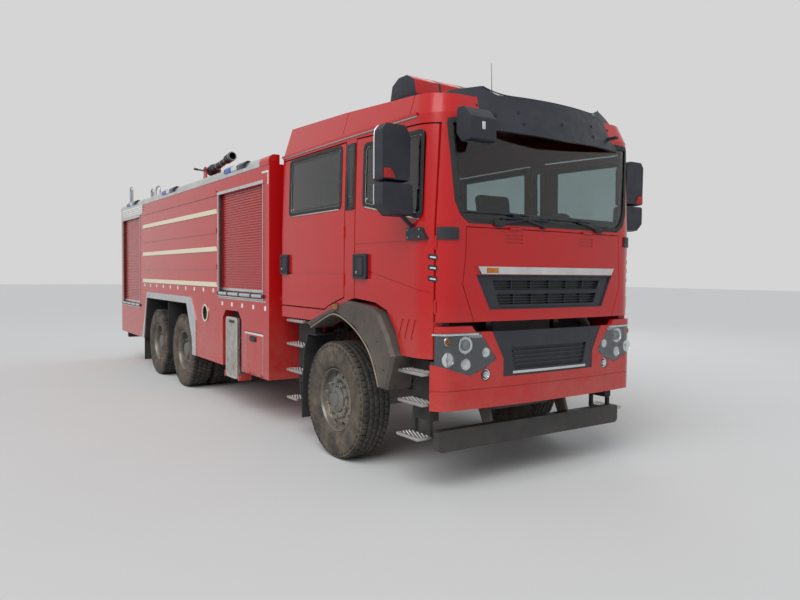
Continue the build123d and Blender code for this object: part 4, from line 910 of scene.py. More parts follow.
def on_cab_side(y, z, lift=0.0):
    """A point on the cab's left side; y is behind the front axle."""
    return Vector((CAB_HALF - CAB_DRAFT * cab_rise(z) + lift, aft(y), z))


def on_cab_rear(x, z, lift=0.0):
    """A point on the cab's rear wall."""
    return Vector((x, aft(CAB_REAR + lift), z))


def on_mirror_front(x, z, lift=0.0):
    """A point on the front of the door mirrors."""
    return Vector((x, aft(MIRROR_FRONT - lift), z))


def on_mirror_back(x, z, lift=0.0):
    """A point on the back of the door mirrors, where their glass is."""
    return Vector((x, aft(MIRROR_BACK + lift), z))


def on_bumper(x, z, lift=0.0):
    """A point on the bumper's front."""
    return on_plan(lambda across: bowed(across, BUMPER_HALF, BUMPER_FRONT, BUMPER_BOW, 0.150), x, z, lift)


def on_body_side(y, z, lift=0.0):
    """A point on the body's left side; y is behind the front axle."""
    return Vector((BODY_HALF + lift, aft(y), z))


def on_body_rear(x, z, lift=0.0):
    """A point on the body's rear."""
    return Vector((x, aft(BODY_REAR + lift), z))


def lay(obj, place, lift=0.0):
    """Lays a flat piece on a surface: its x and y run along it and its z off it."""
    for vertex in obj.data.vertices:
        vertex.co = place(vertex.co.x, vertex.co.y, vertex.co.z + lift)
    return recalculate(obj)


def grown(points, amount):
    """An outline moved outwards by an amount all round; it runs either way."""
    corners = [Vector(point) for point in points]
    area = sum(a.x * b.y - b.x * a.y for a, b in zip(corners, corners[1:] + corners[:1]))
    sign = 1 if area > 0 else -1
    result = []
    for number, corner in enumerate(corners):
        before = (corner - corners[number - 1]).normalized()
        after = (corners[(number + 1) % len(corners)] - corner).normalized()
        first, second = Vector((before.y, -before.x)) * sign, Vector((after.y, -after.x)) * sign
        middle = (first + second).normalized()
        result.append(tuple(corner + middle * amount / max(0.2, middle.dot(first))))
    return result


def rounded(points, radius=0.0, step=0.0, turns=5):
    """A closed outline with its corners rounded and its long sides divided."""
    corners = [Vector(point) for point in points]
    route = []
    for number, corner in enumerate(corners):
        before = corners[number - 1] - corner
        after = corners[(number + 1) % len(corners)] - corner
        if not radius:
            route.append(corner)
            continue
        reach = min(radius / math.tan(before.angle(after) / 2), before.length * 0.45, after.length * 0.45)
        start, end = corner + before.normalized() * reach, corner + after.normalized() * reach
        for turn in range(turns + 1):
            t = turn / turns
            route.append((1 - t) ** 2 * start + 2 * t * (1 - t) * corner + t * t * end)
    result = []
    for first, second in zip(route, route[1:] + route[:1]):
        pieces = max(1, math.ceil((second - first).length / step)) if step else 1
        result += [tuple(first.lerp(second, piece / pieces)) for piece in range(pieces)]
    return result


def ring(points, width, thick, edge=0.0015):
    """A flat ring inside an outline, of a width and a thickness."""
    obj = traced([(*point, 0) for point in points])
    bpy.ops.mesh.inset(thickness=width)
    bpy.ops.mesh.delete(type="FACE")
    bpy.ops.mesh.select_all(action="SELECT")
    bpy.ops.mesh.extrude_region_move(TRANSFORM_OT_translate={"value": (0, 0, thick)})
    bpy.ops.object.mode_set(mode="OBJECT")
    recalculate(obj)
    return round_edges(obj, edge, 1, 50) if edge else obj


def plate(points, thick, edge=0.0015, segments=2):
    """A flat plate with an outline."""
    return outline_plate([(*point, 0) for point in points], (0, 0, thick), edge, segments)


def rectangle(u, v):
    """The outline between two pairs of places."""
    return [(u[0], v[0]), (u[1], v[0]), (u[1], v[1]), (u[0], v[1])]


def peg(place, x, z, start, end, radius, sides, edge):
    """A round peg on a surface, from one distance off it to another."""
    return bar(place(x, z, start), place(x, z, end), radius, sides, edge)


def panel(u, v, thick, place, lift, corner=0.0, edge=0.0015):
    """A flat panel between two pairs of places, with rounded corners, laid on a surface."""
    outline = rectangle(u, v)
    return lay(plate(rounded(outline, corner) if corner else outline, thick, edge), place, lift)


def sliced(obj, places, axis=0):
    """Cuts a piece into strips at places along an axis, so that it can bend there."""
    select(obj)
    bpy.ops.object.mode_set(mode="EDIT")
    for place in places:
        point, normal = [0, 0, 0], [0, 0, 0]
        point[axis], normal[axis] = place, 1
        bpy.ops.mesh.select_all(action="SELECT")
        bpy.ops.mesh.bisect(plane_co=point, plane_no=normal)
    bpy.ops.object.mode_set(mode="OBJECT")
    return obj


def steps(low, high, step):
    """Even places between two ends, without the ends."""
    count = max(1, round((high - low) / step))
    return [low + (high - low) * number / count for number in range(1, count)]


def cut_away(obj, cutter):
    """Cuts one closed shape out of another."""
    cut = obj.modifiers.new("Cut", "BOOLEAN")
    cut.object = cutter
    cut.solver = "EXACT"
    apply_modifiers(obj)
    discard(cutter)
    return obj


def joined(parts):
    """Parts joined as one mesh."""
    select(*parts)
    if len(parts) > 1:
        bpy.ops.object.join()
    return active()


def dome(centre, radius, height, axis, rings=6, steps_round=28):
    """A closed shallow dome that stands off a place along an axis, X, Y or Z with its sign."""
    profile = [(0.0, 0.0), (0.0, radius)]
    profile += [(height * math.sin(math.pi / 2 * k / rings), radius * math.cos(math.pi / 2 * k / rings))
                for k in range(1, rings)]
    profile += [(height, 0.0)]
    sign = sum(axis)
    along = [abs(part) for part in axis].index(1)
    flat = [(centre[along] + sign * far, wide) for far, wide in profile]
    base = list(centre)
    base[along] = 0
    return spun(flat, base, steps_round, tuple(abs(part) for part in axis))


def bolt(centre, axis, radius=0.012, height=0.008, sides=6):
    """A bolt head with a washer, standing off a place."""
    start, axis = Vector(centre), Vector(axis)
    washer = bar(start, start + axis * height * 0.3, radius * 1.35, 16)
    head = bar(start + axis * height * 0.25, start + axis * height, radius, sides, radius * 0.12)
    return [washer, head]


def fit_sides(name, parts, body, finish=None, stands_for=(), smooth=35):
    """Fits left-hand parts, and their mirror images on the right."""
    copies = [copy_to(part, MIRROR) for part in parts]
    for side, pieces in zip(SIDES, (parts, copies)):
        nodes = [node.format(side=side) for node in stands_for]
        fit(f"{name}_{side}", pieces, body.format(side=side), finish, nodes, smooth)


# Rims, hubs and wheel nuts

NUTS = 10
NUT_CIRCLE = 0.1675
HAND_HOLES = 10


def rim_section(outer, dish):
    """The closed section of a rim: (across, radius) from its outer lip, through its disc, to its back."""
    disc = outer - dish
    return [(outer - 0.040, 0.2895), (outer - 0.033, 0.2885), (outer - 0.034, 0.2815),
            (outer - 0.042, 0.2765), (outer - 0.058, 0.2690), (outer - 0.085, 0.2640), (disc - 0.012, 0.2570),
            (disc - 0.004, 0.2400), (disc + 0.006, 0.2150), (disc + 0.012, 0.1950), (disc + 0.008, 0.1800),
            (disc + 0.004, 0.1500), (disc + 0.004, 0.0), (disc - 0.010, 0.0), (disc - 0.010, 0.1700),
            (disc - 0.004, 0.1920), (disc - 0.010, 0.2140), (disc - 0.022, 0.2420), (disc - 0.034, 0.2620),
            (outer - 0.200, 0.2690), (outer - 0.262, 0.2760), (outer - 0.270, 0.2885)]


def rim_with_holes(outer, dish, centre):
    """A rim whose disc has a ring of hand holes."""
    rim = spun(rim_section(outer, dish), centre, steps=80)
    hole = bar((outer - dish - 0.050, 0, 0.2270), (outer - dish + 0.040, 0, 0.2270), 0.0190, 14)
    return cut_away(rim, round_copies(hole, HAND_HOLES, centre, 0.5))


def wheel_nuts(face, centre):
    """The raised ring that carries the nuts, with a boss, nut and stud for each."""
    seat = spun([(face, 0.118), (face + 0.014, 0.120), (face + 0.016, 0.126), (face + 0.016, 0.156),
                 (face + 0.012, 0.162), (face, 0.162)], centre, steps=80)
    boss = bar((face - 0.002, 0, NUT_CIRCLE), (face + 0.017, 0, NUT_CIRCLE), 0.0215, 18, 0.0025)
    nut = bar((face + 0.016, 0, NUT_CIRCLE), (face + 0.042, 0, NUT_CIRCLE), 0.0175, 6, 0.0022)
    stud = bar((face + 0.040, 0, NUT_CIRCLE), (face + 0.056, 0, NUT_CIRCLE), 0.0095, 10, 0.0015)
    painted = [seat, round_copies(boss, NUTS, centre)]
    bright = [round_copies(nut, NUTS, centre), round_copies(stud, NUTS, centre)]
    return painted, bright


def front_hub(face, outer, centre):
    """A front hub with its cap, and the ring of cap screws."""
    hub = spun([(face, 0.116), (face + 0.026, 0.114), (face + 0.034, 0.104), (outer - 0.040, 0.092),
                (outer - 0.034, 0.084), (outer - 0.033, 0.0), (face - 0.001, 0.0)], centre, steps=64)
    cap = spun([(outer - 0.034, 0.062), (outer - 0.026, 0.060), (outer - 0.022, 0.050), (outer - 0.021, 0.0),
                (outer - 0.034, 0.0)], centre, steps=48)
    screw = bar((outer - 0.034, 0, 0.075), (outer - 0.028, 0, 0.075), 0.0055, 6, 0.0008)
    return [hub, cap, round_copies(screw, 8, centre)]


def drive_hub(face, outer, centre):
    """A hub with a reduction drive: a long stepped drum, its flange and cover."""
    hub = spun([(face, 0.116), (outer - 0.110, 0.114), (outer - 0.106, 0.122), (outer - 0.092, 0.122),
                (outer - 0.090, 0.112), (outer - 0.068, 0.104), (outer - 0.062, 0.094),
                (outer - 0.062, 0.040), (outer - 0.058, 0.036), (outer - 0.057, 0.0), (face - 0.001, 0.0)],
               centre, steps=64)
    screw = bar((outer - 0.094, 0, 0.1155), (outer - 0.084, 0, 0.1155), 0.0052, 6, 0.0008)
    cover = bar((outer - 0.064, 0, 0.079), (outer - 0.057, 0, 0.079), 0.0060, 6, 0.0008)
    return [hub, round_copies(screw, 16, centre), round_copies(cover, 8, centre)]


class FIRETRUCK_OT_wheels(bpy.types.Operator):
    """Models the rims with their hand holes, hubs and nuts"""

    bl_idname = "fire_truck.wheels"
    bl_label = "Wheels"
    bl_options = CREATE

    def execute(self, context):
        for axle in AXLES:
            low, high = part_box(f"tyre_{axle}_left")
            centre = (0, (low[1] + high[1]) / 2, AXLE_Z)
            outer = high[0]
            dish = 0.082 if axle == "front" else 0.145
            face = outer - dish + 0.004
            rim = [rim_with_holes(outer, dish, centre)]
            seat, nuts = wheel_nuts(face, centre)
            hub = (front_hub if axle == "front" else drive_hub)(face, outer, centre)
            if axle != "front":
                inner = low[0] + TWIN_WIDTH
                rim.append(spun(rim_section(inner, 0.070), centre, steps=64))
            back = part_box(f"rim_{axle}_left")[0][0]
            hub.append(spun([(back, 0.075), (back, 0.138), (outer - dish - 0.030, 0.138),
                             (outer - dish - 0.008, 0.120), (outer - dish - 0.008, 0.075)], centre, steps=48))
            valve = bar((outer - 0.075, centre[1] + 0.020, AXLE_Z - 0.262),
                        (outer - 0.040, centre[1] + 0.020, AXLE_Z - 0.254), 0.0045, 8, 0.0008)
            painted("wheel", *rim, *seat)
            painted("nut", *nuts, valve)
            painted("casting", *hub)
            fit_sides(f"Rim_{axle}", [*rim, *seat, *nuts, *hub, valve], f"wheel_{axle}_{{side}}",
                      stands_for=(f"rim_{axle}_{{side}}",))
        return {"FINISHED"}


# The cab's windows, doors and front

SCREEN = [(-0.860, 2.095), (0.860, 2.095), (0.930, 2.150), (0.975, 2.250), (1.025, 2.850), (-1.025, 2.850),
          (-0.975, 2.250), (-0.930, 2.150)]
BACK_WINDOW = [(-0.700, 2.300), (0.700, 2.300), (0.700, 2.700), (-0.700, 2.700)]
# Wipers: their blades' ends and height, the arm's joint on the blade, and its pivot
WIPERS = (((-0.948, -0.238), 2.166, -0.455, -0.115), ((-0.116, 0.500), 2.150, 0.300, 0.575),
          ((-0.560, -0.020), 2.134, -0.300, -0.580))
WIPER_PIVOT_Z = 2.086
# Side windows: the body that carries each, and its outline
SIDE_WINDOWS = {
    "Front_window": ("front_door_{side}",
                     [(-1.320, 2.120), (-0.470, 2.270), (-0.470, 2.790), (-1.320, 2.770)]),
    "Rear_window": ("rear_door_{side}", [(-0.080, 2.280), (1.000, 2.280), (1.000, 2.835), (-0.080, 2.835)]),
    "Pillar_window": ("chassis", [(-0.315, 2.260), (-0.180, 2.260), (-0.180, 2.820), (-0.315, 2.820)]),
}
WINDOW_STUDS = {"Front_window": (-0.515, 2.325), "Rear_window": (0.925, 2.335),
                "Pillar_window": (-0.235, 2.370)}
# Door handles: the body, and the outline's places behind the axle and heights
HANDLES = (("front_door_{side}", "Front_handle", (-0.560, -0.365), (1.660, 1.850)),
           ("rear_door_{side}", "Rear_handle", (1.000, 1.150), (1.690, 1.870)))


class FIRETRUCK_OT_windows(bpy.types.Operator):
    """Adds the rubber seals, trims and studs of the cab's windows"""

    bl_idname = "fire_truck.windows"
    bl_label = "Windows"
    bl_options = CREATE

    def execute(self, context):
        for name, (body, outline) in SIDE_WINDOWS.items():
            corner = 0.050 if name != "Pillar_window" else 0.012
            seal = lay(ring(rounded(grown(outline, 0.010), corner + 0.008, 0.2), 0.034, 0.010), on_cab_side,
                       -0.004)
            band = lay(ring(rounded(grown(outline, -0.020), corner, 0.2), 0.030, 0.002), on_cab_side, -0.0125)
            trim = lay(ring(rounded(grown(outline, -0.022), corner, 0.2), 0.005, 0.003, 0.0008), on_cab_side,
                       -0.0055)
            parts = [*painted("seal", seal, band), paint(trim, "aluminium")]
            y, z = WINDOW_STUDS[name]
            parts.append(paint(dome(on_cab_side(y, z, -0.006), 0.011, 0.006, ACROSS, 4, 16), "steel"))
            if name != "Pillar_window":
                sill = [(outline[0][0] + 0.030, outline[0][1] - 0.016),
                        (outline[1][0] - 0.030, outline[1][1] - 0.016),
                        (outline[1][0] - 0.030, outline[1][1] - 0.006),
                        (outline[0][0] + 0.030, outline[0][1] - 0.006)]
                parts.append(paint(lay(plate(sill, 0.008), on_cab_side, 0.0), "aluminium"))
            if body == "chassis":
                parts = both_sides(*parts)
                fit(name + "_seals", parts, body)
            else:
                fit_sides(name + "_seal", parts, body)
        self.windscreen()
        back = ring(rounded(grown(BACK_WINDOW, 0.012), 0.040), 0.036, 0.008)
        lay(back, on_cab_rear)
        fit("Back_window_seal", [back], "chassis", "seal")
        return {"FINISHED"}

    def windscreen(self):
        """The windscreen's seal, dark band, wipers and their covers."""
        seal = lay(ring(rounded(grown(SCREEN, 0.012), 0.050, 0.060), 0.040, 0.008), on_cab_front, -0.003)
        foot = [(-0.850, 2.098), (0.850, 2.098), (0.925, 2.152), (0.940, 2.176), (-0.940, 2.176),
                (-0.925, 2.152)]
        band = lay(sliced(plate(foot, 0.0015, 0), steps(-0.940, 0.940, 0.060)), on_cab_front, -0.0145)
        dark = [seal, band]
        for side in (-1, 1):
            edge = [(side * 0.925, 2.152), (side * 0.958, 2.250), (side * 1.012, 2.845),
                    (side * 0.972, 2.845), (side * 0.918, 2.250), (side * 0.885, 2.176)]
            dark.append(lay(sliced(plate(edge, 0.0015, 0), steps(2.152, 2.845, 0.12), 1), on_cab_front,
                            -0.0145))
        for x in (-0.580, 0.575):
            cover = rounded([(x - 0.062, 2.116), (x - 0.050, 2.076), (x - 0.030, 2.064), (x + 0.030, 2.064),
                             (x + 0.050, 2.076), (x + 0.062, 2.116)], 0.010)
            dark.append(lay(plate(cover, 0.026, 0.006), on_cab_front, 0.0))
        fit("Windscreen_seal", dark, "chassis", "seal")
        wipers = []
        for (low, high), rise, joint, pivot in WIPERS:
            rubber_strip = plate(rectangle((low, high), (rise - 0.006, rise + 0.004)), 0.014, 0.002)
            spine = plate(rectangle((low + 0.06, high - 0.06), (rise - 0.003, rise + 0.009)), 0.008, 0.002)
            wipers.append(lay(sliced(rubber_strip, steps(low, high, 0.06)), on_cab_front, -0.003))
            wipers.append(lay(sliced(spine, steps(low + 0.06, high - 0.06, 0.06)), on_cab_front, 0.011))
            start, end = on_cab_front(pivot, WIPER_PIVOT_Z, 0.014), on_cab_front(joint, rise, 0.026)
            wipers.append(bar(start, end, 0.010, 10, 0.002, tip=0.006))
            wipers.append(peg(on_cab_front, pivot, WIPER_PIVOT_Z, -0.008, 0.030, 0.019, 18, 0.004))
            wipers.append(peg(on_cab_front, joint, rise, 0.010, 0.034, 0.010, 12, 0.002))
        fit("Wipers", wipers, "chassis", "trim")


class FIRETRUCK_OT_door_fittings(bpy.types.Operator):
    """Adds the door handles, the drip rails, the side markers and the door mirrors' glass"""

    bl_idname = "fire_truck.door_fittings"
    bl_label = "Door fittings"
    bl_options = CREATE

    def execute(self, context):
        for body, name, (start, end), (foot, top) in HANDLES:
            bezel = ring(rounded(grown(rectangle((start, end), (foot, top)), 0.012), 0.022), 0.020, 0.028,
                         0.004)
            well = plate(rounded(rectangle((start, end), (foot, top)), 0.012), 0.002, 0.0)
            middle = (start + end) / 2
            grip = plate(rounded(rectangle((middle - 0.062, middle + 0.010), (foot + 0.020, top - 0.020)),
                                 0.018), 0.010, 0.004, 3)
            lock = peg(on_cab_side, middle + 0.050, foot + 0.045, 0.022, 0.029, 0.014, 20, 0.002)
            parts = [paint(lay(bezel, on_cab_side, 0.001), "trim"),
                     paint(lay(well, on_cab_side, 0.0222), "seal"),
                     paint(lay(grip, on_cab_side, 0.0235), "trim"),
                     paint(lock, "steel")]
            fit_sides(name, parts, body)
        drip = [tube([(1.158, aft(-1.235), 2.888), (1.160, aft(-0.4), 2.892), (1.160, aft(0.6), 2.892),
                      (1.158, aft(1.180), 2.888)], 0.0085)]
        fit("Drip_rails", both_sides(*drip), "chassis", "aluminium")
        marker = panel((-0.186, -0.116), (1.372, 1.424), 0.016, on_body_side, -0.002, 0.012, 0.004)
        back = panel((-0.194, -0.108), (1.364, 1.432), 0.006, on_body_side, -0.003, 0.014, 0.002)
        parts = [paint(marker, "amber"), paint(back, "seal")]
        fit("Side_markers", both_sides(*parts), "chassis")
        self.mirrors()
        self.flare_edges()
        return {"FINISHED"}

    def mirrors(self):
        """Glass, edge trims and the small red repeater of the door mirrors."""
        upper = [(1.276, 2.392), (1.274, 2.690), (1.308, 2.768), (1.462, 2.768), (1.488, 2.730),
                 (1.484, 2.392)]
        lower = [(1.246, 2.158), (1.252, 2.346), (1.482, 2.346), (1.482, 2.206), (1.412, 2.142),
                 (1.262, 2.142)]
        parts = []
        for outline in (upper, lower):
            parts.append(paint(lay(plate(rounded(outline, 0.018), 0.003, 0.001), on_mirror_back, -0.001),
                               "mirror"))
            rim = ring(rounded(grown(outline, 0.010), 0.024), 0.011, 0.006)
            parts.append(paint(lay(rim, on_mirror_back, -0.001), "seal"))
        edge = tube([(1.503, aft(-1.176), 2.392), (1.504, aft(-1.176), 2.560), (1.505, aft(-1.176), 2.736),
                     (1.487, aft(-1.178), 2.766), (1.468, aft(-1.180), 2.784)], 0.007)
        low_edge = tube([(1.501, aft(-1.172), 2.206), (1.502, aft(-1.172), 2.280),
                         (1.502, aft(-1.172), 2.352)], 0.005)
        parts += painted("aluminium", edge, low_edge)
        lens = plate(rounded([(1.392, 2.392), (1.494, 2.392), (1.494, 2.462), (1.430, 2.462)], 0.010), 0.010,
                     0.003)
        parts.append(paint(lay(lens, on_mirror_front, -0.001), "lamp_red"))
        for z in (1.972, 2.028):
            for y in (-1.340, -1.190):
                parts += painted("steel", *bolt(on_cab_side(y + 0.01, z, 0.027), ACROSS, 0.006, 0.005))
        fit_sides("Mirror_trim", parts, "front_door_{side}")

    def flare_edges(self):
        """The pale worn bead round the wheel opening, and the flare's fixing studs."""
        line = [(-0.850, 0.780), (-0.786, 0.935), (-0.679, 1.085), (-0.458, 1.236), (-0.128, 1.346),
                (0.062, 1.296), (0.356, 1.177)]
        bead = tube([(BODY_HALF - 0.006, aft(y), z) for y, z in line], 0.007, bend=True)
        studs = []
        for y, z in ((-0.930, 0.930), (-0.840, 1.150), (-0.640, 1.300), (0.330, 1.220)):
            studs.append(dome((BODY_HALF - 0.001, aft(y), z), 0.009, 0.005, ACROSS, 4, 14))
        fit("Flare_beads", both_sides(paint(bead, "flare_edge"), *painted("seal", *studs)),
            "chassis")


# The front: lamps, grille and bumper

LAMP = [(-1.118, 1.254), (-0.752, 1.254), (-0.593, 1.043), (-0.681, 0.987), (-0.838, 0.928), (-1.118, 1.015)]
# Round lamps of the left headlamp: from the middle, height, radius, depth and kind
LAMP_BOWLS = ((1.039, 1.194, 0.030, 0.020, "amber"), (0.879, 1.161, 0.062, 0.026, "projector"),
              (1.036, 1.057, 0.052, 0.022, "bowl"), (0.876, 1.015, 0.042, 0.026, "bowl"),
              (0.690, 1.098, 0.036, 0.026, "bowl"))
FOG_LAMP = (0.690, 0.928, 0.042)


class FIRETRUCK_OT_front_lamps(bpy.types.Operator):
    """Models the headlamps' reflectors, bulbs and clear covers, and the fog lamps"""

    bl_idname = "fire_truck.front_lamps"
    bl_label = "Front lamps"
    bl_options = CREATE

    def execute(self, context):
        parts = []
        for x, z, radius, depth, kind in LAMP_BOWLS:
            parts += self.lamp(x, z, radius, depth, kind)
        parts += self.lamp(*FOG_LAMP, 0.014, "fog")
        ribs = []
        for number in range(9):
            u = 0.735 + 0.014 * number
            ribs.append(panel((u, u + 0.005), (1.215, 1.240), 0.0015, on_bumper, -0.0040, edge=0))
        parts += painted("chrome", *ribs)
        brow = lay(sliced(plate([(0.77, 1.236), (1.130, 1.236), (1.130, 1.250), (0.76, 1.250)], 0.0022, 0),
                          steps(0.77, 1.130, 0.02)), on_bumper, -0.0040)
        parts.append(paint(brow, "chrome"))
        fit("Lamp_reflectors", both_sides(*parts), "chassis")
        cover = sliced(plate(LAMP, 0.0020, 0),
                       [*steps(-1.080, -0.593, 0.030), -1.080, -1.095, -1.105, -1.112])
        fit("Headlamp_covers", both_sides(lay(cover, on_bumper, -0.0032)), "chassis", "lens")
        return {"FINISHED"}

    def lamp(self, x, z, radius, depth, kind):
        """One round lamp: a reflector, its bezel, and a bulb or dome."""
        face = on_bumper(x, z, -0.004).y
        base = aft(BUMPER_FRONT + BUMPER_BOW * (x / BUMPER_HALF) ** 2) + depth - 0.0125
        if kind == "fog":
            base = on_bumper(x, z, -0.0135).y
        cup = spun([(base, 0.0), (base - 0.0005, radius * 0.35), (base - 0.003, radius * 0.62),
                    (base - (base - face) * 0.6, radius * 0.86), (face + 0.002, radius * 0.955),
                    (face + 0.001, radius * 0.99), (face + 0.004, radius * 0.995),
                    (base + 0.001, radius * 0.80), (base + 0.0015, 0.0)], (x, 0, z), 40, ALONG)
        bezel = spun([(face + 0.002, radius * 0.985), (face - 0.0002, radius), (face - 0.0002, radius * 1.05),
                      (face + 0.001, radius * 1.09), (face + 0.004, radius * 1.09)], (x, 0, z), 40, ALONG)
        parts = [paint(cup, "amber" if kind == "amber" else "chrome"), paint(bezel, "chrome")]
        if kind == "projector":
            parts.append(paint(dome((x, base, z), radius * 0.60, 0.011, (0, -1, 0)), "projector"))
            parts.append(paint(spun([(base + 0.001, radius * 0.60), (base - 0.006, radius * 0.61),
                                     (base - 0.007, radius * 0.67), (base - 0.001, radius * 0.70)],
                                    (x, 0, z), 40, ALONG), "trim"))
        else:
            parts.append(paint(dome((x, base, z), radius * 0.22, 0.009, (0, -1, 0), 5, 16), "lens"))
        if kind == "fog":
            parts.append(paint(dome((x, base - 0.002, z), radius * 0.93, 0.008, (0, -1, 0)), "lens"))
            parts.append(paint(spun([(face + 0.002, radius * 0.98), (on_bumper(x, z, 0.002).y, radius),
                                     (on_bumper(x, z, 0.002).y, radius * 1.12),
                                     (face + 0.002, radius * 1.16)], (x, 0, z), 40, ALONG), "trim"))
        return parts


def on_visor(x, z, lift=0.0):
    """A point on the front of the sun visor."""
    rise = (z - 2.740) / 0.460
    half, front = 1.160 - 0.040 * rise, -1.680 + 0.180 * rise
    return on_plan(lambda across: bowed(across, half, front, 0.330, 0.0), x, z, lift)


class FIRETRUCK_OT_front_trim(bpy.types.Operator):
    """Adds the grille's surround, bumper strip, corner vents, visor fixings and front mirror glass"""

    bl_idname = "fire_truck.front_trim"
    bl_label = "Front trim"
    bl_options = CREATE

    def execute(self, context):
        marker = sliced(plate(rectangle((-0.706, -0.592), (1.708, 1.748)), 0.004, 0.001), (-0.65,))
        fit("Grille_marker", [lay(marker, on_cab_front, 0.0248)], "service_flap", "amber")
        frame_line = ring(rounded([(-0.790, 1.698), (0.790, 1.698), (0.655, 1.422), (-0.655, 1.422)], 0.020,
                                  0.050), 0.014, 0.008)
        mesh = []
        for z in (1.440, 1.562):
            mesh.append(lay(sliced(plate(rectangle((-0.560, 0.560), (z, z + 0.004)), 0.003, 0),
                                   steps(-0.56, 0.56, 0.06)), on_cab_front, -0.0095))
        fit("Grille_surround", [lay(frame_line, on_cab_front, -0.0105), *mesh], "service_flap", "trim")
        # The plate behind the slots is the radiator core and, by its near-black colour, painted shade of the
        # space behind them.
        core_and_shade = sliced(plate(rectangle((-0.640, 0.640), (1.450, 1.662)), 0.003, 0), steps(-0.64, 0.64, 0.08))
        fit("Grille_core_and_shade", [lay(core_and_shade, on_cab_front, -0.0490)], "service_flap", "core_and_shade")
        strip = sliced(plate(rounded(rectangle((-0.425, 0.425), (0.917, 0.938)), 0.006), 0.008, 0.002),
                       steps(-0.425, 0.425, 0.05))
        fit("Bumper_strip", [lay(strip, on_bumper, -0.003)], "chassis", "aluminium")
        self.vents()
        self.visor()
        self.mirror()
        return {"FINISHED"}

    def vents(self):
        """Three short slots on each front corner of the cab."""
        parts = []
        for z in (1.820, 1.740, 1.658):
            outline = rounded([(1.098, z - 0.020), (1.142, z - 0.012), (1.142, z + 0.026),
                               (1.098, z + 0.018)], 0.006)
            slot = lay(sliced(plate(outline, 0.003, 0), (1.112, 1.128)), on_cab_front, -0.001)
            lip = lay(ring(outline, 0.004, 0.006, 0), on_cab_front, -0.001)
            lit = rounded([(1.106, z - 0.008), (1.134, z - 0.002), (1.134, z + 0.010), (1.106, z + 0.004)],
                          0.003)
            lens = lay(sliced(plate(lit, 0.003, 0), (1.115, 1.125)), on_cab_front, 0.0015)
            parts += [*painted("seal", slot, lip), paint(lens, "white_lens_and_highlight")]
        fit("Corner_vents", both_sides(*parts), "chassis")

    def visor(self):
        """Mounting plates at the visor's ends, its bolts and the bead along its edge."""
        outline = rounded([(0.770, 2.872), (0.985, 2.950), (1.085, 2.935), (1.095, 2.812), (0.800, 2.815)],
                          0.018)
        plate_piece = lay(sliced(plate(outline, 0.006, 0.001), steps(0.77, 1.095, 0.04)), on_visor, -0.001)
        parts = [paint(plate_piece, "visor_plate")]
        for x, z in ((0.850, 2.842), (1.060, 2.905), (1.060, 2.835), (0.420, 2.955), (0.400, 2.860),
                     (0.760, 2.980)):
            start = on_visor(x, z, -0.002)
            ahead = (on_visor(x, z, 0.01) - start).normalized()
            parts += painted("seal", *bolt(start, ahead, 0.011, 0.010))
        centre = on_visor(0.0, 2.905, -0.002)
        middle = painted("seal", *bolt(centre, (0, -1, 0), 0.011, 0.010))
        fit("Visor_fixings", [*both_sides(*parts), *middle], "chassis")
        route = ((-0.672, 3.149), (-0.572, 3.087), (-0.300, 3.086), (0.0, 3.086), (0.300, 3.086),
                 (0.572, 3.087), (0.672, 3.149))
        edge = tube([tuple(on_visor(x, z, 0.002)) for x, z in route], 0.005)
        fit("Visor_edge", [edge], "chassis", "trim")

    def mirror(self):
        """Glass and a pale patch on the front mirror; the patch is a painted highlight."""
        x = (-1.022, -0.818)
        foot = outline_plate([(x[0], aft(-1.700), 2.662), (x[1], aft(-1.700), 2.662),
                              (x[1], aft(-1.628), 2.6505), (x[0], aft(-1.628), 2.6505)], (0, 0, -0.0015))
        # A thin pale plate on the front of the mirror's housing is a painted highlight.
        painted_highlight = slab((-0.935, aft(-1.7225), 2.735), (-0.905, aft(-1.7190), 2.790), 0.001)
        fit("Front_mirror_glass_and_highlight", [paint(foot, "mirror"), paint(painted_highlight, "white_lens_and_highlight")], "chassis")


# The roof: light bar, aerial, deck, hatches and monitor

BAR_Y = -0.560
BAR_END = 0.8399
HATCHES, HATCH_TOP = (3.100, 4.600), BODY_TOP + 0.090
SEAMS_ACROSS, SEAMS_ALONG = (2.3, 3.85, 5.4, 6.2, 7.5), (-0.62, 0.62)
MONITOR_Y, MONITOR_PIVOT = 6.900, 3.570
BARREL_RISE = 6.6  # degrees that the barrel points up at rest
BAR_SECTION = [(-0.190, 3.215), (-0.160, 3.340), (-0.060, 3.394), (0.060, 3.394), (0.160, 3.340),
               (0.190, 3.215)]


def bar_segment(start, end, inset=0.0):
    """A length of the light bar's section, drawn in by an inset."""
    section = grown(BAR_SECTION, -inset)
    return outline_plate([(start, aft(BAR_Y + y), z) for y, z in section], (end - start, 0, 0), 0.006, 2)


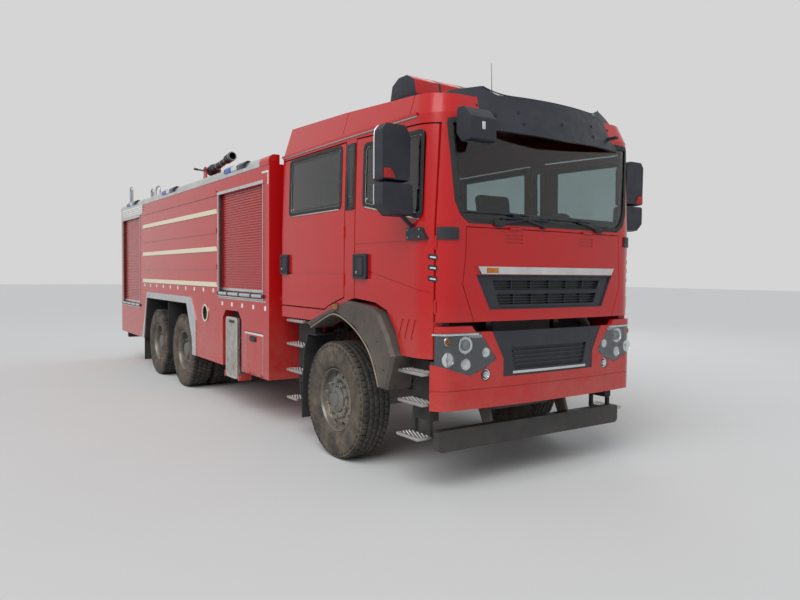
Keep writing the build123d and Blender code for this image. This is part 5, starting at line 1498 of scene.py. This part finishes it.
class FIRETRUCK_OT_light_bar(bpy.types.Operator):
    """Models the red light bar with its lenses, dividers, reflectors and feet"""

    bl_idname = "fire_truck.light_bar"
    bl_label = "Light bar"
    bl_options = CREATE

    def execute(self, context):
        parts = []
        cuts = (-0.838, -0.560, -0.285, 0.285, 0.560, 0.838)
        for number, (start, end) in enumerate(zip(cuts, cuts[1:])):
            finish = "beacon" if number != 2 else "beacon_dark"
            parts.append(paint(bar_segment(start + 0.010, end - 0.010), finish))
        for place in cuts:
            low, high = max(place - 0.014, -BAR_END), min(place + 0.014, BAR_END)
            parts.append(paint(bar_segment(low, high), "trim"))
        for x in (-0.70, -0.42, 0.42, 0.70):
            reflector = bar((x, aft(BAR_Y), 3.236), (x, aft(BAR_Y), 3.330), 0.060, 24, 0.006, tip=0.030)
            parts.append(paint(reflector, "chrome"))
        base = slab((-0.836, aft(BAR_Y - 0.186), 3.196), (0.836, aft(BAR_Y + 0.186), 3.226), 0.006)
        parts.append(paint(base, "trim"))
        for x in (-0.60, 0.60):
            foot = slab((x - 0.055, aft(BAR_Y - 0.075), 3.085), (x + 0.055, aft(BAR_Y + 0.075), 3.205), 0.010)
            parts.append(paint(foot, "trim"))
        fit("Light_bar", parts, "chassis", stands_for=("light_bar",))
        foot, top = Vector((-0.430, aft(-1.255), 3.050)), Vector((-0.452, aft(-1.265), 3.400))
        whip = bar(foot, top, 0.0035, 8, tip=0.0018)
        base = bar(foot - Vector((0, 0, 0.005)), foot + Vector((-0.002, 0, 0.045)), 0.016, 16, 0.003,
                   tip=0.008)
        fit("Aerial", [whip, base], "chassis", "seal")
        return {"FINISHED"}


class FIRETRUCK_OT_roof(bpy.types.Operator):
    """Adds the hatch lids with their clamps, deck seams, and the monitor's pipe, rings and grips"""

    bl_idname = "fire_truck.roof"
    bl_label = "Roof"
    bl_options = CREATE

    def execute(self, context):
        top = HATCH_TOP
        parts = []
        for y in HATCHES:
            lid = spun([(top - 0.070, 0.292), (top - 0.002, 0.294), (top + 0.008, 0.282),
                        (top + 0.016, 0.200), (top + 0.022, 0.080), (top + 0.023, 0.0), (top - 0.001, 0.0),
                        (top - 0.070, 0.290)], (0, aft(y), 0), 64, UP)
            parts.append(paint(lid, "aluminium"))
            clamp = slab((0.262, -0.020, top - 0.030), (0.312, 0.020, top + 0.014), 0.004)
            knob = bar((0.296, 0, top + 0.010), (0.296, 0, top + 0.045), 0.014, 12, 0.003)
            for piece in (clamp, knob):
                parts += painted("casting", *turned_copies(piece, range(30, 390, 60), (0, aft(y), 0)))
            parts.append(paint(slab((-0.060, aft(y) - 0.330, top - 0.060),
                                    (0.060, aft(y) - 0.280, top + 0.012), 0.006), "casting"))
        fit("Hatch_lids", parts, "chassis")
        seams = [slab((-1.125, aft(y) - 0.004, BODY_TOP + 0.0115), (1.125, aft(y) + 0.004, BODY_TOP + 0.0145),
                      0.001) for y in SEAMS_ACROSS]
        seams += [slab((x - 0.004, aft(1.37), BODY_TOP + 0.0115), (x + 0.004, aft(8.53), BODY_TOP + 0.0143),
                       0.001) for x in SEAMS_ALONG]
        fit("Deck_seams", seams, "chassis", "aluminium")
        self.monitor()
        return {"FINISHED"}

    def monitor(self):
        """The monitor's red riser, its turning gear, barrel rings and grips."""
        y = aft(MONITOR_Y)
        riser = spun([(2.889, 0.172), (2.900, 0.172), (2.902, 0.098), (2.940, 0.086), (3.285, 0.086),
                      (3.296, 0.122), (3.3285, 0.122), (3.3285, 0.060), (2.889, 0.060)], (0, y, 0), 48, UP)
        nuts = bar((0.145, 0, 2.900), (0.145, 0, 2.918), 0.011, 6, 0.001)
        parts = [paint(riser, "red"), *painted("steel", *turned_copies(nuts, range(0, 360, 36), (0, y, 0)))]
        fit("Monitor_riser", parts, "chassis")
        motor = bar((0.104, y + 0.030, 3.332), (0.104, y + 0.030, 3.378), 0.028, 20, 0.004)
        cheek = spun([(0.146, 0.0), (0.146, 0.042), (0.152, 0.042), (0.156, 0.036), (0.156, 0.0)],
                     (0, y, MONITOR_PIVOT), 28)
        teeth = spun([(3.348, 0.110), (3.348, 0.121), (3.366, 0.121), (3.366, 0.110)], (0, y, 0), 48, UP)
        fit("Monitor_gear", [*both_sides(paint(cheek, "casting")), paint(motor, "casting"),
                             paint(teeth, "steel")], "monitor_head")
        raised = Matrix.Rotation(math.radians(90 - BARREL_RISE), 4, "X")
        turn = Matrix.Translation((0, y, MONITOR_PIVOT)) @ raised
        rings = []
        for along, radius in ((0.160, 0.064), (0.330, 0.0625), (0.560, 0.0585), (0.740, 0.056),
                              (1.020, 0.080)):
            rings.append(spun([(along - 0.012, radius - 0.010), (along - 0.010, radius),
                               (along + 0.010, radius), (along + 0.012, radius - 0.010)], (0, 0, 0), 32, UP))
        tip = spun([(1.052, 0.060), (1.058, 0.060), (1.058, 0.072), (1.052, 0.072)], (0, 0, 0), 40, UP)
        grip = bar((0, 0.216, -0.833), (0, 0.280, -1.044), 0.0215, 16, 0.006)
        pieces = [paint(moved(piece, turn), "steel") for piece in (*rings, tip)]
        pieces.append(paint(moved(grip, turn), "seal"))
        fit("Monitor_rings", pieces, "monitor_barrel")


# The body: shutters, strips, reflectors, doors and lamps

SLAT_PITCH = 0.030
CHANNEL = 0.018  # the width of a shutter's guide channel
BACK_HALF = 0.900  # half the width of the shutter in the rear
SHUTTER_FLOOR = BODY_HALF - 0.060
# Side shutters: places behind the axle, and heights
SHUTTERS = (((1.500, 2.920), (1.400, 2.660)), ((7.060, 8.400), (1.060, 2.650)))
# Marker lamps on the rails: the middles of their groups of three, and one lamp's pitch and length
RAIL_LAMPS, LAMP_PITCH, LAMP_LENGTH = (2.350, 5.205, 7.650), 0.217, 0.210
PORT_Y, PORT_Z, PORT_FLOOR = 3.454, 1.148, BODY_HALF - 0.070


def slat_edge(foot, top):
    """The edge outline of a roller shutter: (depth, height) of its rounded slats."""
    count = round((top - foot) / SLAT_PITCH)
    pitch = (top - foot) / count
    points = [(0.002, foot)]
    for number in range(count):
        z = foot + number * pitch
        points += [(0.017, z + pitch * 0.02), (0.026, z + pitch * 0.16), (0.0275, z + pitch * 0.42),
                   (0.026, z + pitch * 0.70), (0.018, z + pitch * 0.84)]
    return points + [(0.017, top), (0.002, top)]


class FIRETRUCK_OT_shutters(bpy.types.Operator):
    """Models the roller shutters with their fine slats, channels, foot rails and catches"""

    bl_idname = "fire_truck.shutters"
    bl_label = "Shutters"
    bl_options = CREATE

    def execute(self, context):
        slats, rubbers, rails = [], [], []
        for (start, end), (foot, top) in SHUTTERS:
            outline = [(SHUTTER_FLOOR + depth, aft(start + 0.001), z) for depth, z in slat_edge(foot, top)]
            slats.append(outline_plate(outline, (0, end - start - 0.002, 0)))
            for y in (start, end - CHANNEL):
                rubbers.append(slab((SHUTTER_FLOOR + 0.004, aft(y), foot),
                                    (BODY_HALF - 0.004, aft(y + CHANNEL), top), 0.003))
            rails.append(slab((SHUTTER_FLOOR + 0.012, aft(start + 0.020), foot + 0.062),
                              (SHUTTER_FLOOR + 0.042, aft(end - 0.020), foot + 0.100), 0.006))
        # The one in the rear is as high as the last ones of the sides
        foot, top = SHUTTERS[-1][1]
        floor_y = aft(BODY_REAR - 0.060)
        half = BACK_HALF - 0.001
        outline = [(-half, floor_y + depth, z) for depth, z in slat_edge(foot, top)]
        back = outline_plate(outline, (2 * half, 0, 0))
        back_rail = slab((-0.870, floor_y + 0.012, foot + 0.004), (0.870, floor_y + 0.046, foot + 0.060),
                         0.006)
        grip = [slab((x - 0.060, floor_y + 0.044, foot + 0.020), (x + 0.060, floor_y + 0.058, foot + 0.044),
                     0.005) for x in (-0.45, 0.45)]
        edges = [slab((x, floor_y + 0.004, foot), (x + CHANNEL, floor_y + 0.056, top), 0.003)
                 for x in (-BACK_HALF, BACK_HALF - CHANNEL)]
        fit("Shutter_slats", [*both_sides(*slats), back], "chassis", "shutter",
            stands_for=("shutters",), smooth=50)
        fit("Shutter_channels", [*both_sides(*rubbers), *edges], "chassis", "seal")
        fit("Shutter_rails", [*both_sides(*rails), back_rail, *grip], "chassis", "aluminium")
        return {"FINISHED"}


class FIRETRUCK_OT_body_fittings(bpy.types.Operator):
    """Adds the louvred header, bar clamps, reflectors, tape, locker strips, port and step frames"""

    bl_idname = "fire_truck.body_fittings"
    bl_label = "Body fittings"
    bl_options = CREATE

    def execute(self, context):
        self.header()
        self.bars()
        self.reflectors()
        self.lockers()
        self.steps_and_ports()
        self.liners()
        return {"FINISHED"}

    def liners(self):
        """Black liners in the wheel arches and behind the fold-out steps."""
        arch = [(4.008, 0.532), (4.033, 0.760), (4.292, 1.2405), (6.558, 1.2405), (6.762, 0.532)]
        inner = [(4.012, 0.532), (4.037, 0.759), (4.294, 1.2365), (6.555, 1.2365), (6.757, 0.532)]
        parts = []
        for (first, second), (near, far) in zip(zip(arch, arch[1:]), zip(inner, inner[1:])):
            parts.append(outline_plate([(0.560, aft(y), z) for y, z in (first, second, far, near)],
                                       (0.686, 0, 0)))
        recess = [(2.153, 0.531), (2.787, 0.531), (2.787, 1.129), (2.689, 1.227), (2.251, 1.227),
                  (2.153, 1.129)]
        parts.append(lay(plate(recess, 0.002, 0), on_body_side, -0.1295))
        fit("Arch_liners", both_sides(*parts), "chassis", "seal")
        guide = slab((0.342, aft(-1.150), 1.075), (0.760, aft(-1.146), 1.325))
        fit("Air_guides", both_sides(guide), "chassis", "seal")

    def header(self):
        """The pale louvred plate over the rear shutter."""
        base = panel((6.846, 8.434), (2.692, 2.846), 0.003, on_body_side, 0.0118, 0.008, 0.001)
        louvre = outline_plate([(BODY_HALF + 0.0145, 0, 0.0), (BODY_HALF + 0.0245, 0, 0.004),
                                (BODY_HALF + 0.0245, 0, 0.009), (BODY_HALF + 0.0145, 0, 0.020)],
                               (0, 0.058, 0), 0.0015, 1)
        louvres = []
        for z in (2.712, 2.748, 2.784, 2.820):
            for number in range(19):
                louvres.append(shifted(louvre, (0, aft(6.880 + 0.081 * number), z - 0.010)))
        discard(louvre)
        fit("Header_louvres", both_sides(base, joined(louvres)), "chassis", "white_paint")

    def bars(self):
        """Black clamps on the shutters' foot bars and the strips beside the front shutter."""
        clamps, strips = [], []
        for (start, end), (foot, _) in SHUTTERS:
            for y in (start - 0.005, start + 0.33, (start + end) / 2, end - 0.33, end + 0.005):
                clamps.append(bar((BODY_HALF - 0.002, aft(y - 0.026), foot + 0.030),
                                  (BODY_HALF - 0.002, aft(y + 0.026), foot + 0.030), 0.0245, 20, 0.003))
        for place, height in (((2.958, 2.975), (1.400, 2.700)), ((1.420, 2.950), (1.366, 1.378))):
            strips.append(panel(place, height, 0.004, on_body_side, 0.0, edge=0.001))
        fit("Bar_clamps", both_sides(*clamps), "chassis", "seal")
        fit("Body_strips", both_sides(*strips), "chassis", "aluminium")

    def reflectors(self):
        """White reflective squares, corner tape and small ones on the rear."""
        squares = []
        for start, pitch, count, wide, height in ((3.120, 0.400, 10, 0.052, (1.432, 1.482)),
                                                  (1.420, 0.340, 5, 0.050, (1.280, 1.328))):
            for y in (start + pitch * number for number in range(count)):
                squares.append(panel((y, y + wide), height, 0.0012, on_body_side, 0.0002, edge=0))
        tape = [rectangle((1.365, 1.545), (2.772, 2.790)), rectangle((1.365, 1.383), (2.640, 2.772))]
        squares += [lay(plate(outline, 0.0012, 0), on_body_side, 0.0002) for outline in tape]
        low = [panel((x, x + 0.052), (1.000, 1.050), 0.0012, on_body_rear, 0.0002, edge=0)
               for x in (0.20, 0.50, 0.80, 1.10)]
        fit("Reflective_tape", both_sides(*squares, *low), "chassis", "reflector")

    def lockers(self):
        """The strips, nosing and catch of the locker doors."""
        parts = [paint(panel((y, y + 0.014), (0.552, 1.008), 0.003, on_body_side, 0.0001, edge=0.001),
                       "aluminium") for y in (1.492, 2.024)]
        parts.append(paint(panel((1.490, 2.040), (0.990, 1.012), 0.005, on_body_side, 0.0001, edge=0.002),
                           "white_paint"))
        bezel = panel((1.700, 1.880), (0.912, 0.973), 0.010, on_body_side, 0.0001, 0.016, 0.003)
        bowl = panel((1.716, 1.864), (0.922, 0.962), 0.004, on_body_side, 0.0118, 0.012, 0.001)
        parts += [paint(bezel, "seal"), paint(bowl, "trim")]
        fit_sides("Locker_trim", parts, "locker_door_{side}")

    def steps_and_ports(self):
        """The fold-out steps' frames and grips, and the filler ports' caps."""
        step = rounded([(2.290, 0.410), (2.685, 0.410), (2.685, 1.150), (2.290, 1.150)], 0.060)
        frame_ring = lay(ring(step, 0.026, 0.0025, 0.0008), on_body_side, -0.0030)
        low_grip = panel((2.400, 2.575), (1.080, 1.112), 0.0022, on_body_side, -0.0030, 0.012, 0.0006)
        parts = [paint(frame_ring, "aluminium"), paint(low_grip, "seal")]
        fit_sides("Step_frame", parts, "fold_step_{side}")
        place = (0, aft(PORT_Y), PORT_Z)
        cap = spun([(PORT_FLOOR, 0.074), (PORT_FLOOR + 0.030, 0.074), (PORT_FLOOR + 0.036, 0.066),
                    (PORT_FLOOR + 0.036, 0.030), (PORT_FLOOR + 0.042, 0.026), (PORT_FLOOR + 0.042, 0.0),
                    (PORT_FLOOR, 0.0)], place, 40)
        lugs = []
        for angle in (0.6, 0.6 + math.pi):
            y, z = aft(PORT_Y + 0.058 * math.cos(angle)), PORT_Z + 0.058 * math.sin(angle)
            lugs.append(bar((PORT_FLOOR + 0.012, y, z), (PORT_FLOOR + 0.046, y, z), 0.010, 14, 0.002))
        liner = spun([(PORT_FLOOR, 0.089), (BODY_HALF + 0.002, 0.0895), (BODY_HALF + 0.002, 0.086),
                      (PORT_FLOOR, 0.086)], place, 48)
        collar = spun([(BODY_HALF + 0.0118, 0.094), (BODY_HALF + 0.0155, 0.097), (BODY_HALF + 0.0155, 0.112),
                       (BODY_HALF + 0.0118, 0.117)], place, 48)
        dark = painted("seal", cap, liner, *lugs)
        fit("Filler_ports", both_sides(*dark, paint(collar, "cream")), "chassis")


class FIRETRUCK_OT_body_lamps(bpy.types.Operator):
    """Models the marker lamps on the roof rails and the rear lamp clusters"""

    bl_idname = "fire_truck.body_lamps"
    bl_label = "Body lamps"
    bl_options = CREATE

    def execute(self, context):
        section = [(BODY_HALF - 0.058, 2.977), (BODY_HALF - 0.021, 2.977), (BODY_HALF + 0.0235, 2.944),
                   (BODY_HALF + 0.0235, 2.896), (BODY_HALF - 0.040, 2.896)]
        parts = []
        for y in RAIL_LAMPS:
            for number, finish in enumerate(("glass_black", "white_lens_and_highlight", "blue")):
                start = y - 0.322 + number * LAMP_PITCH
                piece = outline_plate([(x, aft(start), z) for x, z in section], (0, LAMP_LENGTH, 0), 0.006)
                parts.append(paint(piece, finish))
            for start in (y - 0.330, y - 0.111, y + 0.106, y + 0.322):
                piece = outline_plate([(x, aft(start), z) for x, z in grown(section, 0.0004)], (0, 0.008, 0))
                parts.append(paint(piece, "trim"))
        rear = aft(BODY_REAR)
        housing = slab((0.961, rear, 0.761), (1.199, rear + 0.014, 0.959), 0.004)
        parts.append(paint(housing, "seal"))
        for start, end, finish in ((0.968, 1.040, "lamp_red"), (1.046, 1.118, "amber"),
                                   (1.124, 1.192, "white_lens_and_highlight")):
            parts.append(paint(slab((start, rear + 0.010, 0.800), (end, rear + 0.0245, 0.952), 0.004),
                               finish))
        parts.append(paint(slab((0.968, rear + 0.010, 0.768), (1.192, rear + 0.022, 0.794), 0.003),
                           "lamp_red"))
        high = [slab((x - 0.045, rear - 0.002, 2.740), (x + 0.045, rear + 0.018, 2.785), 0.005)
                for x in (0.55, 1.10)]
        parts += painted("lamp_red", *high)
        fit("Body_lamps", both_sides(*parts), "chassis", stands_for=("body_lamps",))
        return {"FINISHED"}


# Steps and the cab's inside

TREAD_IN, TREAD_OUT = 1.0605, 1.1995
# Step treads: height, then places behind the axle
TREADS = ((0.960, -1.385, -1.065), (0.730, -1.385, -1.065), (0.460, -1.330, -1.050), (1.222, 0.620, 1.000),
          (0.980, 0.620, 1.000), (0.710, 0.640, 1.000), (0.425, 0.760, 0.990))


class FIRETRUCK_OT_cab_steps(bpy.types.Operator):
    """Models the step treads as pressed plates with raised grips and turned edges"""

    bl_idname = "fire_truck.cab_steps"
    bl_label = "Cab steps"
    bl_options = CREATE

    def execute(self, context):
        grip = bar((0, 0, -0.001), (0, 0, 0.005), 0.0075, 10, 0, tip=0.0045)
        parts = []
        for z, start, end in TREADS:
            tread = slab((TREAD_IN, aft(start) + 0.0005, z - 0.029),
                         (TREAD_OUT, aft(end) - 0.0005, z - 0.006),
                         0.004)
            nose = bar((1.190, aft(start) + 0.002, z - 0.014), (1.190, aft(end) - 0.002, z - 0.014), 0.0125,
                       16, 0.002)
            parts += [tread, nose]
            count = int((end - start - 0.04) / 0.030)
            for number in range(count + 1):
                y = start + 0.020 + (end - start - 0.040) * number / count
                for column in range(4):
                    shift = 0.0 if number % 2 else 0.014
                    parts.append(shifted(grip, (1.075 + 0.028 * column + shift, aft(y), z - 0.006)))
        discard(grip)
        fit("Step_treads", both_sides(joined(parts)), "chassis", "step_metal",
            stands_for=("step_treads",))
        return {"FINISHED"}


STUFFING_CAP = 0.010  # the most that a cushion's skin moves out


def cushion(size, rise, seams):
    """A stuffed cushion about the origin: size across, along and up; seams run across it."""
    wide, deep, thick = size
    clear_selection()
    bpy.ops.mesh.primitive_cube_add(size=1)
    obj = active()
    obj.scale = (wide, deep, thick)
    settle(obj)
    round_edges(obj, thick * 0.32, 4)
    remesh = obj.modifiers.new("Even cells", "REMESH")
    remesh.mode = "VOXEL"
    remesh.voxel_size = 0.018
    apply_modifiers(obj)
    before = [vertex.co.copy() for vertex in obj.data.vertices]
    cloth = obj.modifiers.new("Stuffing", "CLOTH")
    cloth.settings.use_pressure = True
    cloth.settings.uniform_pressure_force = 4.0
    cloth.settings.effector_weights.gravity = 0.0
    cloth.settings.quality = 4
    cloth.collision_settings.use_collision = False
    for number in range(1, 21):
        bpy.context.scene.frame_set(number)
    apply_modifiers(obj)
    bpy.context.scene.frame_set(1)
    for vertex, start in zip(obj.data.vertices, before):
        move = vertex.co - start
        if move.length > STUFFING_CAP:
            vertex.co = start + move.normalized() * STUFFING_CAP
    smooth = obj.modifiers.new("Smooth", "SUBSURF")
    smooth.levels = smooth.render_levels = 1
    apply_modifiers(obj)
    half = Vector(size) / 2
    for vertex in obj.data.vertices:
        across, along = vertex.co.x / half.x, vertex.co.y / half.y
        crown = max(0.0, 1 - across * across) * max(0.0, 1 - along * along)
        if vertex.co.z > 0:
            vertex.co.z += rise * crown
            for place in seams:
                vertex.co.z -= 0.012 * math.exp(-((vertex.co.y - place * half.y) / 0.010) ** 2)
    return obj


class FIRETRUCK_OT_seats(bpy.types.Operator):
    """Models the two front seats and the crew bench as stuffed cushions on their frames"""

    bl_idname = "fire_truck.seats"
    bl_label = "Seats"
    bl_options = CREATE

    def execute(self, context):
        seat = cushion((0.440, 0.500, 0.125), 0.016, (-0.45, 0.05, 0.50))
        back = cushion((0.440, 0.620, 0.105), 0.014, (-0.62, -0.25, 0.12, 0.50))
        pads, bench_pads, frames = [], [], []
        for x in (-0.665, 0.665):
            pads.append(copy_to(seat, Matrix.Translation((x, aft(-0.385), 1.830))))
            lean = Matrix.Rotation(math.radians(78), 4, "X")
            pads.append(copy_to(back, Matrix.Translation((x, aft(-0.105), 2.225)) @ lean))
            frames.append(slab((x - 0.195, aft(-0.590), 1.441), (x + 0.195, aft(-0.160), 1.768), 0.020, 3))
            for side in (-1, 1):
                frames.append(bar((x + side * 0.10, aft(-0.030), 2.420),
                                  (x + side * 0.10, aft(-0.025), 2.500), 0.007, 10))
            frames.append(slab((x - 0.215, aft(-0.085), 1.900), (x + 0.215, aft(-0.040), 2.380), 0.018, 3))
        bench = cushion((0.620, 0.560, 0.120), 0.014, (-0.50, 0.10, 0.60))
        bench_back = cushion((0.620, 0.520, 0.100), 0.012, (-0.5, 0.0, 0.5))
        for x in (-0.650, 0.0, 0.650):
            bench_pads.append(copy_to(bench, Matrix.Translation((x, aft(0.805), 1.812))))
            lean = Matrix.Rotation(math.radians(80), 4, "X")
            bench_pads.append(copy_to(bench_back, Matrix.Translation((x, aft(1.045), 2.155)) @ lean))
        frames.append(slab((-0.975, aft(0.605), 1.441), (0.975, aft(1.125), 1.748), 0.020, 3))
        discard(seat, back, bench, bench_back)
        for name, group, nodes in (("Seat_pads", pads, ("seats",)), ("Bench_pads", bench_pads, ())):
            fit(name, group, "chassis", "cloth", nodes, 60)
        fit("Seat_frames", frames, "chassis", "dash")
        return {"FINISHED"}


class FIRETRUCK_OT_cab_inside(bpy.types.Operator):
    """Adds the instrument hood, vents and wheel grip seen through the glass"""

    bl_idname = "fire_truck.cab_inside"
    bl_label = "Cab inside"
    bl_options = CREATE

    def execute(self, context):
        lean = Vector((0, 0.55, 0.84)).to_track_quat("Z", "Y").to_matrix().to_4x4()
        tilt = Matrix.Translation((0.665, aft(-0.860), 2.130)) @ lean
        clear_selection()
        bpy.ops.mesh.primitive_torus_add(major_radius=0.212, minor_radius=0.017, major_segments=56,
                                         minor_segments=12)
        wheel = moved(settle(active()), tilt @ Matrix.Translation((0, 0, 0.012)))
        hub = moved(dome((0, 0, 0.024), 0.058, 0.014, UP), tilt)
        hood = slab((0.440, aft(-1.245), 2.030), (0.890, aft(-1.040), 2.112), 0.035, 4)
        vents = [slab((x - 0.060, aft(-1.000), 1.945), (x + 0.060, aft(-0.968), 1.985), 0.006)
                 for x in (-0.80, -0.35, 0.10, 0.35)]
        fit("Cab_inside", [wheel, hub, hood, *vents], "chassis", "dash")
        return {"FINISHED"}


# Panel and run

PARTS_IN_ORDER = (FIRETRUCK_OT_stage, FIRETRUCK_OT_finishes, FIRETRUCK_OT_tyres, FIRETRUCK_OT_wheels,
                  FIRETRUCK_OT_windows, FIRETRUCK_OT_door_fittings, FIRETRUCK_OT_front_lamps,
                  FIRETRUCK_OT_front_trim, FIRETRUCK_OT_light_bar, FIRETRUCK_OT_roof, FIRETRUCK_OT_shutters,
                  FIRETRUCK_OT_body_fittings, FIRETRUCK_OT_body_lamps, FIRETRUCK_OT_cab_steps,
                  FIRETRUCK_OT_seats, FIRETRUCK_OT_cab_inside)


class FIRETRUCK_PT_panel(bpy.types.Panel):
    """Lists the settings and the pieces in the order they are made"""

    bl_idname = "FIRETRUCK_PT_panel"
    bl_label = "Fire truck"
    bl_space_type = "VIEW_3D"
    bl_region_type = "UI"
    bl_category = "Fire truck"

    def draw(self, context):
        for group in settings():
            box = self.layout.box()
            for name in group.__annotations__:
                box.prop(group, name)
        for part in PARTS_IN_ORDER:
            self.layout.operator(part.bl_idname)


SETTINGS = {"fire_truck_paint": PaintSettings, "fire_truck_tyres": TyreSettings,
            "fire_truck_stage": StageSettings}


def register():
    """Registers the settings, the operators and the panel."""
    for name, group in SETTINGS.items():
        bpy.utils.register_class(group)
        setattr(bpy.types.Scene, name, bpy.props.PointerProperty(type=group))
    for part in (*PARTS_IN_ORDER, FIRETRUCK_PT_panel):
        bpy.utils.register_class(part)


def unregister():
    """Takes them out again."""
    for part in (FIRETRUCK_PT_panel, *reversed(PARTS_IN_ORDER)):
        bpy.utils.unregister_class(part)
    for name, group in SETTINGS.items():
        delattr(bpy.types.Scene, name)
        bpy.utils.unregister_class(group)


def main():
    """Dresses the truck."""
    register()
    for part in PARTS_IN_ORDER:
        group, name = part.bl_idname.split(".")
        getattr(getattr(bpy.ops, group), name)()


if __name__ == "__main__":
    main()
